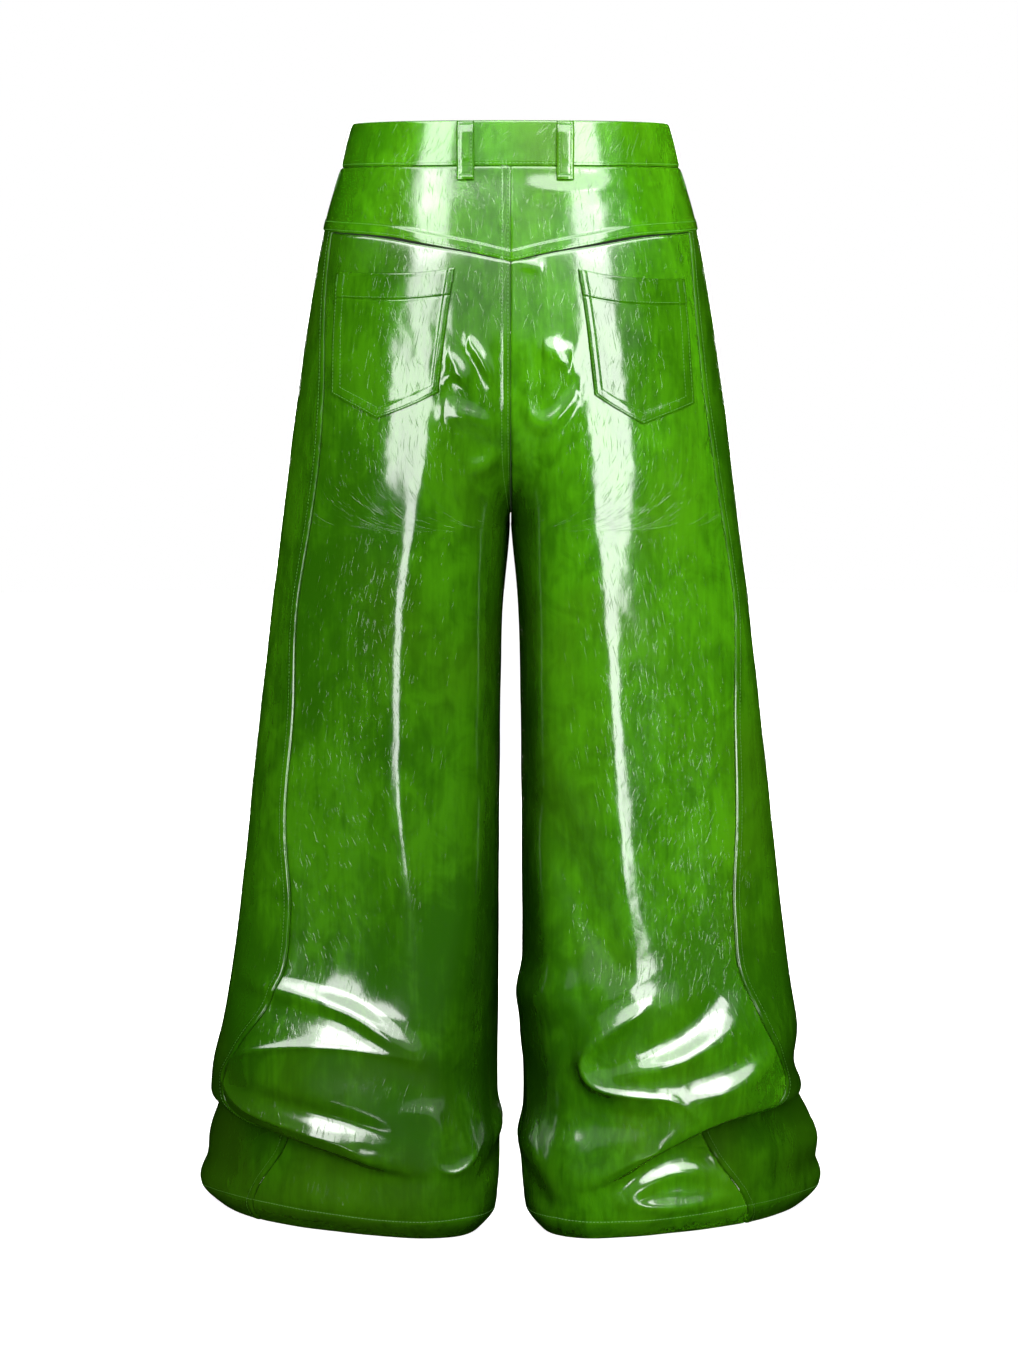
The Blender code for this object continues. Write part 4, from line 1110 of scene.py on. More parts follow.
@dataclass(frozen=True)
class PatentLeather:
    """Glossy green leather: cloudy dye under a clear coat with hair scratches and a fine crinkle, with
    painted shade over the piled-up lower legs and a painted floor reflection on the hems.

    Attributes:
        light: the dye where it lies thin.
        deep: the dye where it has pooled; the painted shade of the piled-up cloth also draws the colour
            towards it.
        olive: the tint of its older clouds.
        gloss: roughness of the clear coat.
        pile: painted shade, how far the dye's share falls where the cloth piles up, for the darker light
            there.
        hem_painted_light: painted floor reflection, how far the share rises again in the turned-up hems.
        shins: heights between which the painted shade comes in.
        hems: heights between which the painted floor reflection comes in.
    """

    light: Triple = (0.021, 0.094, 0.0009)
    deep: Triple = (0.009, 0.048, 0.0004)
    olive: Triple = (0.018, 0.052, 0.0009)
    gloss: float = 0.125
    pile: float = 0.08
    hem_painted_light: float = 0.112
    shins: Pair = (-0.82, -0.64)
    hems: Pair = (-0.970, -0.930)

    def painted_shade_and_hem_light(self, nodes: Nodes) -> Socket:
        """Painted shade: how much darker the dye is made where the cloth piles up below the shins, less a
        painted floor reflection that lightens the turned-up hems again.
        """
        split = nodes.add("SeparateXYZ")
        nodes.link(nodes.place(), split.inputs["Vector"])
        shins = nodes.span(split.outputs["Z"], *self.shins, (self.pile, 0.0))
        hems = nodes.span(split.outputs["Z"], *self.hems, (self.hem_painted_light, 0.0))
        return nodes.maths("SUBTRACT", shins, hems)

    def make(self, name: str) -> Material:
        """The material: colour = deep to light by three sizes of noise, darkened by painted shade on the
        piled-up cloth and lightened by a painted floor reflection on the hems, with olive clouds.
        """
        nodes = Nodes(name)
        clouds, mottle, streaks = (nodes.noise(g) for g in (DYE_CLOUDS, DYE_MOTTLE, DYE_STREAKS))
        share = nodes.weighed((clouds, 0.45), (mottle, 0.38), (streaks, 0.17))
        # painted shade over the piled-up lower legs, and a painted floor reflection on the hems
        share = nodes.maths("SUBTRACT", share, self.painted_shade_and_hem_light(nodes))
        dye = nodes.blend(nodes.span(share, 0.38, 0.62), self.deep, self.light)
        dye = nodes.blend(nodes.span(nodes.noise(OLIVE_CLOUDS), 0.46, 0.70, (0.0, 0.55)), dye, self.olive)
        nodes.feed(dye, "Base Color")
        hair, cross = nodes.noise(HAIR_SCRATCHES), nodes.noise(CROSS_SCRATCHES)
        scratch = nodes.maths("MAXIMUM", nodes.span(hair, 0.62, 0.74), nodes.span(cross, 0.64, 0.76))
        nodes.feed(nodes.span(scratch, 0.0, 1.0, (0.34, 0.60)), "Roughness")
        relief = nodes.bump(nodes.noise(CRINKLE), 0.00050, 0.15)
        relief = nodes.bump(nodes.noise(LEATHER_GRAIN), 0.00006, 0.25, relief)
        relief = nodes.bump(scratch, 0.00008, 0.8, relief)
        nodes.feed(relief, "Normal", "Coat Normal")
        nodes.fix({"Coat Weight": 1.0, "Coat Roughness": self.gloss, "Coat IOR": 1.5})
        nodes.fix({"Specular IOR Level": 0.0})
        return nodes.material


@dataclass(frozen=True)
class LeatherBack:
    """The unpolished inner side, a short brushed nap in a darker green."""

    nap: Triple = (0.020, 0.060, 0.010)
    dark: Triple = (0.010, 0.034, 0.005)

    def make(self, name: str) -> Material:
        """The material: two greens by fine noise over a bumped nap."""
        nodes = Nodes(name)
        nap = nodes.noise(NAP)
        share = nodes.weighed((nap, 0.6), (nodes.noise(NAP_CLOUDS), 0.4))
        nodes.feed(nodes.blend(nodes.span(share, 0.35, 0.65), self.dark, self.nap), "Base Color")
        nodes.feed(nodes.bump(nap, 0.0003, 0.6), "Normal")
        nodes.fix({"Roughness": 0.85})
        return nodes.material


@dataclass(frozen=True)
class Thread:
    """Tone-on-tone sewing thread with a slight twist."""

    colour: Triple = (0.030, 0.125, 0.006)
    dark: Triple = (0.012, 0.060, 0.002)

    def make(self, name: str) -> Material:
        """The material: fine noise over the thread for its twist."""
        nodes = Nodes(name)
        twist = nodes.noise(THREAD_TWIST)
        nodes.feed(nodes.blend(nodes.span(twist, 0.35, 0.65), self.dark, self.colour), "Base Color")
        nodes.feed(nodes.bump(twist, 0.0001, 0.6), "Normal")
        nodes.fix({"Roughness": 0.45})
        return nodes.material


@dataclass(frozen=True)
class BrushedSteel:
    """Grey metal of the button and the slider, brushed one way and a little tarnished."""

    colour: Triple = (0.56, 0.56, 0.54)
    tarnish: Triple = (0.32, 0.31, 0.28)

    def make(self, name: str) -> Material:
        """The material: streaked roughness and a soft cloud of tarnish."""
        nodes = Nodes(name)
        brush, cloud = nodes.noise(BRUSH_MARKS), nodes.noise(TARNISH_CLOUDS)
        nodes.feed(nodes.blend(nodes.span(cloud, 0.45, 0.75), self.colour, self.tarnish), "Base Color")
        nodes.feed(nodes.span(brush, 0.3, 0.7, (0.18, 0.42)), "Roughness")
        nodes.feed(nodes.bump(brush, 0.00003, 0.5), "Normal")
        nodes.fix({"Metallic": 1.0})
        return nodes.material


@dataclass(frozen=True)
class ZipTape:
    """Woven tape of fine slanting ribs."""

    light: Triple = (0.030, 0.090, 0.014)
    dark: Triple = (0.008, 0.028, 0.004)

    def make(self, name: str) -> Material:
        """The material: slanting waves on the object's coordinates, as colour and bump."""
        nodes = Nodes(name)
        ribs = nodes.add("TexWave", bands_direction="DIAGONAL")
        ribs.inputs["Scale"].default_value = 1.0
        nodes.link(nodes.place(TAPE_SCALE), ribs.inputs["Vector"])
        nodes.feed(nodes.blend(ribs.outputs["Fac"], self.dark, self.light), "Base Color")
        nodes.feed(nodes.bump(ribs.outputs["Fac"], 0.0003, 0.7), "Normal")
        nodes.fix({"Roughness": 0.8})
        return nodes.material


@dataclass
class Finishes:
    """The finishes, each made once."""

    patent: Material = field(default_factory=lambda: PatentLeather().make("patent_leather"))
    inside: Material = field(default_factory=lambda: LeatherBack().make("leather_inside_nap"))
    thread: Material = field(default_factory=lambda: Thread().make("sewing_thread"))
    steel: Material = field(default_factory=lambda: BrushedSteel().make("brushed_steel"))
    tape: Material = field(default_factory=lambda: ZipTape().make("zip_tape_weave"))


def settle(piece: Piece, node: str) -> None:
    """Makes a piece ride on the garment and stand for its node, whose solid it hides."""
    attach(piece, "root")
    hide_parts(node)


def dress(piece: Piece) -> None:
    """Makes an added piece ride on the garment."""
    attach(piece, "root")


def report(piece: Piece, words: str) -> None:
    """Writes one line about a finished piece."""
    LOG.info("%s: %d faces, %s", piece.name, len(piece.data.polygons), words)


@dataclass
class ClothGrid:
    """A piece's grid on the garment, with the distances that its seams are told by.

    Attributes:
        side: which half it is on.
        points: points of the garment surface, rows by columns.
        normals: its unit normals.
        across: distance from the first column.
        down: distance from the first row.
    """

    side: Side
    points: Array
    normals: Array
    across: Array
    down: Array

    @classmethod
    def on(cls, side: Side, u: Array, w: Array) -> "ClothGrid":
        """The grid at u and w on one half."""
        points = FORM.surface(side, u, w)
        down = spread_along(points.transpose(1, 0, 2)).T
        return cls(side, points, grid_normals(points, -side.sign), spread_along(points), down)

    @property
    def back_across(self) -> Array:
        """Distance from the far side."""
        return self.across[:, -1:] - self.across

    @property
    def up(self) -> Array:
        """Distance from the foot."""
        return self.down[-1:] - self.down

    @property
    def size(self) -> str:
        """Its greatest width and length, in words."""
        return f"{self.across.max():.3f} m across, {self.down.max():.3f} m down"

    def raised(self, lift: Array | float) -> Array:
        """The grid moved out by lift."""
        return self.points + self.normals * np.broadcast_to(lift, self.across.shape)[..., None]


@dataclass
class Panel:
    """A leg panel, a thin shell from its top edge to the floor between two seams.

    Attributes:
        side: which half.
        is_back: True for the back panel, False for the front one.
        middle_columns: columns between the two seams' close columns.
        spacing: metres between rows on the seat, the leg and the pile-up.
        cut: width and length of the flat cut; not used.
        share: the cut piece's part of that rectangle; not used.
    """

    side: Side
    is_back: bool
    middle_columns: int
    spacing: Triple
    cut: Pair
    share: float = 0.78

    @property
    def node(self) -> str:
        """Name of the solid it stands for."""
        return ("back_" if self.is_back else "front_") + self.side.value

    def rows(self) -> Array:
        """w of the rows: close at the top edge, then at three spacings, close at the hem's edge."""
        seat, leg, pile = self.spacing
        rows = np.concatenate(
            [
                SEAT_TOP + NEAR[:8],
                np.arange(SEAT_TOP + NEAR[8], SEAT_FOOT, seat),
                np.arange(SEAT_FOOT, SLACK_DROP, leg),
                np.arange(SLACK_DROP, FLOOR_DROP - 0.0035, pile),
                FLOOR_DROP - NEAR[7::-1] * 0.8,
            ]
        )
        return fitted(rows, len(rows) // 2)

    def bounds(self, w: Array) -> tuple[Array, Array]:
        """u of the two seams at these places down."""
        below = w > CROTCH_DROP - 0.01
        if self.is_back:
            return HALF_GAP * below, FORM.side_seam(self.side, w) - HALF_GAP
        return FORM.side_seam(self.side, w) + HALF_GAP, 1.0 - HALF_GAP * below

    def grid(self) -> tuple[Array, Array]:
        """u and w of the panel's grid, its columns drawn close along both seams."""
        n = len(NEAR)
        low, high = (0.0, SIDE_TOP) if self.is_back else (SIDE_TOP, 1.0)
        top_u = low + (high - low) * np.linspace(0.0, 1.0, self.middle_columns + 2 * n)
        top = FORM.yoke_edge(top_u) + SEAM_GAP / 2.0 if self.is_back else FORM.front_top(top_u)
        level = np.repeat(self.rows()[:, None], len(top_u), axis=1)
        part = np.clip((SEAT_FOOT - level) / (SEAT_FOOT - SEAT_TOP), 0.0, 1.0)
        w = level + (top - SEAT_TOP)[None, :] * part
        low_u, high_u = self.bounds(w)
        low_step = 1.0 / FORM.stretch(self.side, low_u[:, 0] + 0.002, w[:, 0])[:, None]
        high_step = 1.0 / FORM.stretch(self.side, high_u[:, -1] - 0.002, w[:, -1])[:, None]
        u = np.empty(w.shape)
        u[:, :n] = low_u[:, :n] + NEAR * low_step
        u[:, -n:] = high_u[:, -n:] - NEAR[::-1] * high_step
        inner = np.linspace(0.0, 1.0, self.middle_columns + 2)[None, 1:-1]
        u[:, n:-n] = u[:, n - 1 : n] + (u[:, -n : 1 - n] - u[:, n - 1 : n]) * inner
        return u, w

    def lift(self, cloth: ClothGrid, w: Array) -> Array:
        """Relief of the seams, the top edge, the fly and the doubled hem."""
        low_edge = CENTRE_BACK[self.side] if self.is_back else FRONT_SIDE
        seat = ease((CROTCH_DROP - CENTRE_END[0] - w) / CENTRE_END[1]) if self.is_back else 1.0
        total = seat * low_edge.height(cloth.across) + (1.0 - seat) * PLAIN.height(cloth.across)
        total = total + PLAIN.height(cloth.back_across) + PLAIN.height(cloth.down)
        high, past, slope = HEM_STEP
        total = total + HEM.height(cloth.up) + high * ease((HEM_HEIGHT + past - cloth.up) / slope)
        if self.node == "front_left":
            high, slope = FLY_STEP
            total = total + high * ease((fly_width(FLY_ROWS[1] + slope, w) - cloth.back_across) / slope)
        return total

    def sew(self, sewing: Sewing, cloth: ClothGrid, outer: Array, w: Array) -> None:
        """Adds the seams that are sewn on this panel."""
        sewing.add(self.node, seam_over_foot(outer, cloth.normals, cloth.up, HEM_HEIGHT))
        edge = CENTRE_BACK[self.side] if self.is_back else FRONT_SIDE
        last = CROTCH_DROP - CENTRE_STITCH_END if self.is_back else FLOOR_DROP
        for row in edge.rows:
            sewing.add(self.node, seam_at(outer, cloth.normals, cloth.across, row).only(w[:, 0] < last))

    def build(self, finishes: Finishes, sewing: Sewing) -> None:
        """The panel as a hanging sheet, and its seams."""
        u, w = self.grid()
        cloth = ClothGrid.on(self.side, u, w)
        outer = cloth.raised(self.lift(cloth, w))
        deep = SHEET * (1.0 + ease((w - FLOOR_DROP + HEM_HEIGHT + HEM_FADE) / HEM_FADE)) * INNER_SHARE
        uv = np.stack([cloth.across + (0.0 if self.is_back else FRONT_MAP), w], axis=-1)
        shell = Shell(self.node + "_cloth", outer, cloth.raised(-deep), uv)
        piece = shell.build(finishes.patent, finishes.inside)
        settle(piece, self.node)
        report(piece, cloth.size)
        self.sew(sewing, cloth, outer, w)


def fly_width(row: float, w: Array) -> Array:
    """Distance from the centre front of a line that falls straight and then turns in on a quarter ellipse."""
    turn = np.clip((w - FLY_STRAIGHT) / FLY_TURN, 0.0, 1.0)
    return row * np.sqrt(1.0 - turn**2)


@dataclass
class Yoke:
    """The yoke of one half, from the centre back round the side to the waistband in front.

    Attributes:
        side: which half.
        cut: width and length of the flat cut; not used.
        share: the cut piece's part of that rectangle; not used.
        columns: columns past the close ones at the centre back.
        rows: rows between the close ones at both edges.
    """

    side: Side
    cut: Pair = (0.340, 0.100)
    share: float = 0.62
    columns: int = 120
    rows: int = 26

    def grid(self) -> tuple[Array, Array]:
        """u and w, the columns close at the centre back, the rows close at both edges."""
        close = NEAR / FORM.stretch(self.side, np.array([0.002]), np.array([0.08]))
        u = np.concatenate([close, np.linspace(close[-1], YOKE_FRONT, self.columns + 1)[1:]])
        u = fitted(u, 30)[None, :]
        low, high = BAND_DROP + SEAM_GAP, FORM.yoke_edge(u) - SEAM_GAP / 2.0
        narrow = np.clip((high - low) / YOKE_TIP, 0.0, 1.0)
        top, foot = NEAR[:6, None] * narrow, NEAR[::-1, None] * narrow
        middle = np.linspace(0.0, 1.0, self.rows + 2)[1:-1, None]
        start, end = low + top[-1:], high - foot[:1]
        w = fitted(np.concatenate([low + top, start + (end - start) * middle, high - foot]), 12)
        return np.broadcast_to(u, w.shape), w

    def build(self, finishes: Finishes, sewing: Sewing) -> None:
        """The yoke as a hanging sheet over the hips, and its seams."""
        node = "yoke_" + self.side.value
        u, w = self.grid()
        cloth = ClothGrid.on(self.side, u, w)
        centre = CENTRE_BACK[self.side]
        relief = centre.height(cloth.across) + YOKE_FOOT.height(cloth.up) + PLAIN.height(cloth.down)
        outer = cloth.raised(relief)
        uv = np.stack([cloth.across, w], axis=-1)
        shell = Shell(node + "_cloth", outer, cloth.raised(-SHEET * INNER_SHARE), uv)
        piece = shell.build(finishes.patent, finishes.inside)
        settle(piece, node)
        report(piece, cloth.size)
        long_enough = cloth.down[-1] > 2.0 * YOKE_FOOT.rows[1]
        for row in YOKE_FOOT.rows:
            sewing.add(node, seam_over_foot(outer, cloth.normals, cloth.up, row).only(long_enough))
        for row in centre.rows:
            sewing.add(node, seam_at(outer, cloth.normals, cloth.across, row))
        down = np.linspace(*SIDE_TACK_SPAN, TACK_STEPS)
        for place in SIDE_TACKS:
            sewing.add(node, seam_on(self.side, np.full(TACK_STEPS, place), down, 0.0003, BARTACK))


BUTTON_DROP = 0.020  # w of the button and its hole
BUTTON_INSET = 0.012  # how far past the centre front they lie
HOLE_REACH = (0.012, 0.0012)  # half the length and height of the buttonhole


@dataclass
class Waistband:
    """The waistband, one folded strip whose left end passes over the right one at the centre front.

    Attributes:
        cut: length and width of the flat cut; not used.
        node: name of the solid it stands for.
        columns: columns round the waist.
        right_end: turn at which the right end lies.
        rise: turn of the left front from which the band passes outwards, and over how much.
        swell: height of the folded strip's swell, and the power that moves its crest up.
        end_row: distance of the stitches from the left end.
    """

    cut: Pair = (0.880, 0.086)
    node: str = "waistband"
    columns: int = 361
    right_end: float = 0.985
    rise: Pair = (0.88, 0.10)
    swell: Pair = (0.0009, 0.85)
    end_row: float = 0.0028

    def point(self, turn: Array, w: Array, lift: Array) -> Array:
        """Points of the band, with turn from the left front (-1) by the back (0) to the right front (1)."""
        far = np.abs(turn) > 1.0
        across = np.where(far, 2.0 - np.abs(turn), np.abs(turn))
        on_right = np.where(far, turn < 0.0, turn >= 0.0)
        right = FORM.lifted(Side.RIGHT, across, w, lift)
        left = FORM.lifted(Side.LEFT, across, w, lift)
        points = np.where(on_right[..., None], right, left)
        points[..., 0] -= np.where(on_right, 1.0, -1.0) * SEAM_GAP / 2.0
        return points

    def proud(self, turn: Array) -> Array:
        """Height of the band's face over the garment surface, more where its end passes over the other."""
        start, over = self.rise
        return BAND_PROUD + (BAND_SHEET + SEAM_GAP) * ease_plain((-turn - start) / over)

    def puff(self, w: Array) -> Array:
        """The soft swell of the folded strip between its edges, a sine with its crest in the upper half."""
        height, power = self.swell
        return height * np.sin(math.pi * np.clip(w / BAND_DROP, 0.0, 1.0) ** power)

    def rows(self) -> tuple[Array, Array]:
        """w of the rows and how far each is drawn in: the fold's roll, then flat, close at the foot."""
        radius = BAND_SHEET / 2.0
        angle = np.radians([8.0, 25.0, 45.0, 65.0, 90.0])
        foot = BAND_DROP - SEAM_GAP / 2.0
        flat = np.linspace(radius, foot - NEAR[9], 22)[1:-1]
        w = np.concatenate([radius * (1.0 - np.cos(angle)), flat, foot - NEAR[9::-1]])
        drawn_in = np.concatenate([radius * (1.0 - np.sin(angle)), np.zeros(len(w) - len(angle))])
        return fitted(w, 8), fitted(drawn_in, 8)

    def build(self, finishes: Finishes, sewing: Sewing) -> None:
        """The band as a hanging sheet, its edge stitching, buttonhole and end stitching."""
        w, drawn_in = self.rows()
        drawn_in = drawn_in[:, None]
        turn, w = np.meshgrid(np.linspace(-1.0 - OVERLAP / FRONT_WIDTH, self.right_end, self.columns), w)
        proud = self.proud(turn)
        up = BAND_DROP - SEAM_GAP / 2.0 - w
        side_end = np.minimum(turn - turn.min(), turn.max() - turn) * FRONT_WIDTH
        relief = BAND_FOOT.height(up) + PLAIN.height(side_end) + self.puff(w) - drawn_in
        outer = self.point(turn, w, proud + relief)
        inner = self.point(turn, w, proud - BAND_SHEET + drawn_in)
        across = spread_along(outer)
        shell = Shell("waistband_cloth", outer, inner, np.stack([across, w], axis=-1))
        piece = shell.build(finishes.patent, finishes.patent)
        settle(piece, self.node)
        report(piece, f"{across.max():.3f} m round")
        normals = grid_normals(outer, -1.0)
        sewing.add(self.node, seam_over_foot(outer, normals, up, BAND_FOOT.rows[0]))
        rows = np.minimum(w, up)[:, 0] > 0.003
        sewing.add(self.node, seam_at(outer, normals, across, self.end_row).only(rows))
        self.sew_hole(sewing)

    def sew_hole(self, sewing: Sewing) -> None:
        """The buttonhole's two rows of close stitches."""
        long, high = HOLE_REACH
        along = -1.0 - (BUTTON_INSET + np.linspace(-long, long, TACK_STEPS)) / FRONT_WIDTH
        for level in (BUTTON_DROP - high, BUTTON_DROP + high):
            hole = np.full(TACK_STEPS, level)
            lift = self.proud(along) + self.puff(hole) + 0.0001
            spots = self.point(along, hole, lift)
            ahead = self.point(along, hole, lift + 0.001) - spots
            sewing.add(self.node, Seam(spots, ahead / 0.001, BARTACK))


@dataclass
class BackPocket:
    """A patch pocket with a pointed foot, lying on a back panel.

    Attributes:
        side: which half.
        cut: width and length of the flat cut with its turnings; not used.
        share: the cut piece's part of that rectangle; not used.
        steps: rows, and columns, between the close ones at its edges.
    """

    side: Side
    cut: Pair = (0.140, 0.175)
    share: float = 0.62
    steps: int = 96

    def corners(self) -> Array:
        """Top inner, top outer, outer foot, point and inner foot, as u and w."""
        return np.array(POCKETS[self.side.value])

    def top_edge(self, across: Array) -> Array:
        """w of the sagging top edge, across from 0 at the inner corner to 1 at the outer one."""
        inner_top, outer_top = self.corners()[:2]
        sag = POCKET_SAG * np.sin(math.pi * np.clip(across, 0.0, 1.0))
        return inner_top[1] + (outer_top[1] - inner_top[1]) * across + sag

    def grid(self) -> tuple[Array, Array]:
        """u and w of the grid, close along all edges, one column through the point."""
        inner_top, outer_top, outer_low, point, inner_low = self.corners()
        tip = (point[0] - inner_low[0]) / (outer_low[0] - inner_low[0])
        close = NEAR / POCKET_SIZE
        left = np.linspace(close[-1], tip, self.steps // 2 + 1)[1:]
        right = np.linspace(tip, 1.0 - close[-1], self.steps // 2 + 1)[1:-1]
        across = fitted(np.concatenate([close, left, right, 1.0 - close[::-1]]), 20)[:, None]
        top = inner_top + (outer_top - inner_top) * across
        top[:, 1] = self.top_edge(across[:, 0])
        foot = inner_low + (outer_low - inner_low) * across
        fall_in = inner_low[1] + (point[1] - inner_low[1]) * np.clip(across[:, 0] / tip, 0.0, 1.0)
        from_outer = np.clip((1.0 - across[:, 0]) / (1.0 - tip), 0.0, 1.0)
        foot[:, 1] = np.minimum(fall_in, outer_low[1] + (point[1] - outer_low[1]) * from_outer)
        hem = (POCKET_HEM + POCKET_HEM_ROWS) / POCKET_SIZE
        upper = np.linspace(close[-1], hem[0], 8)[1:-1]
        middle = np.linspace(hem[-1], 1.0 - close[-1], self.steps)[1:-1]
        down = np.concatenate([close, upper, hem, middle, 1.0 - close[::-1]])
        grid = top[None] + (foot - top)[None] * fitted(down, 50)[:, None, None]
        return grid[..., 0], grid[..., 1]

    def width_of_u(self) -> float:
        """Metres across the cloth for one u, at the pocket's middle."""
        middle = self.corners().mean(axis=0)
        return float(FORM.stretch(self.side, middle[:1], middle[1:])[0])

    def plan(self, u: Array, w: Array) -> Array:
        """Places on the cloth in metres."""
        return np.stack([u * self.width_of_u(), w], axis=-1)

    def edges(self) -> list[tuple[Array, Array, Array, float]]:
        """Start, direction, direction inwards and length of each side and slope, from inner to outer."""
        inner_top, outer_top, outer_low, point, inner_low = self.plan(*self.corners().T)
        path = (inner_top, inner_low, point, outer_low, outer_top)
        edges = []
        for start, end in zip(path[:-1], path[1:]):
            length = np.linalg.norm(end - start)
            way = (end - start) / length
            edges.append((start, way, np.array([way[1], -way[0]]), length))
        return edges

    def edge_distance(self, u: Array, w: Array) -> Array:
        """Distance to the nearest of the two sides and the two slopes of the foot."""
        spots = self.plan(u, w)
        far = [np.abs((spots - start) @ inwards) for start, _, inwards, _ in self.edges()]
        return np.min(far, axis=0)

    def top_distance(self, u: Array, w: Array) -> Array:
        """Distance below the pocket's top edge."""
        inner_top, outer_top = self.corners()[:2]
        return w - self.top_edge((u - inner_top[0]) / (outer_top[0] - inner_top[0]))

    def lift(self, u: Array, w: Array) -> Array:
        """Relief: turned edges with their grooves, the doubled hem at the top with a groove at its foot."""
        below = self.top_distance(u, w)
        edge = POCKET_EDGE.height(self.edge_distance(u, w))
        foot_groove = 0.00055 * np.exp(-(((below - POCKET_HEM) / 0.0009) ** 2))
        hem = 0.0007 * ease((POCKET_HEM - below) / 0.0016) - foot_groove
        top_groove = 0.0002 * np.exp(-(((below - POCKET_TURN) / 0.0008) ** 2))
        top = -0.0007 * np.exp(-((below / 0.0010) ** 2)) - top_groove
        return LAYER_GAP + SHEET + edge + hem + top

    def inset(self, row: float) -> tuple[Array, Array]:
        """The open path down one side, over the point and up the other, a distance inside the edges."""
        short = 0.002
        lines = [(start + inwards * row, way) for start, way, inwards, _ in self.edges()]
        knots = [lines[0][0] + lines[0][1] * short]
        for (p, a), (q, b) in zip(lines[:-1], lines[1:]):
            knots.append(p + a * np.linalg.solve(np.stack([a, -b], axis=1), q - p)[0])
        knots.append(lines[3][0] + lines[3][1] * (self.edges()[3][3] - short))
        knots = np.array(knots)
        way = way_along(knots)
        at = np.linspace(0.0, way[-1], 300)
        u, w = (np.interp(at, way, knots[:, k]) for k in (0, 1))
        return u / self.width_of_u(), w

    def build(self, finishes: Finishes, sewing: Sewing) -> None:
        """The pocket as a laid sheet, with its seams and bartacks."""
        node = "back_pocket_" + self.side.value
        u, w = self.grid()
        cloth = ClothGrid.on(self.side, u, w)
        outer = cloth.raised(self.lift(u, w))
        uv = np.stack([cloth.across + POCKET_MAP, w], axis=-1)
        shell = Shell(node + "_cloth", outer, cloth.raised(LAYER_GAP), uv)
        piece = shell.build(finishes.patent, finishes.inside)
        settle(piece, node)
        report(piece, cloth.size)
        for row in POCKET_EDGE.rows:
            path_u, path_w = self.inset(row)
            sewing.add(node, seam_on(self.side, path_u, path_w, self.lift(path_u, path_w)))
        self.sew_top(node, sewing)

    def sew_top(self, node: str, sewing: Sewing) -> None:
        """The hem's row and two upright bartacks at each top corner."""
        inner_top, outer_top = self.corners()[:2]
        inset = POCKET_EDGE.width / self.width_of_u()
        along = np.linspace(inner_top[0] + inset, outer_top[0] - inset, 120)
        level = self.top_edge((along - inner_top[0]) / (outer_top[0] - inner_top[0]))
        level = level + POCKET_HEM - POCKET_TURN
        sewing.add(node, seam_on(self.side, along, level, self.lift(along, level)))
        for corner, way in ((inner_top, 1.0), (outer_top, -1.0)):
            for row in POCKET_EDGE.rows:
                down = corner[1] + np.linspace(0.0035, 0.0125, TACK_STEPS)
                place = np.full(TACK_STEPS, corner[0] + way * (row + 0.0006) / self.width_of_u())
                sewing.add(node, seam_on(self.side, place, down, self.lift(place, down) + 0.0001, BARTACK))


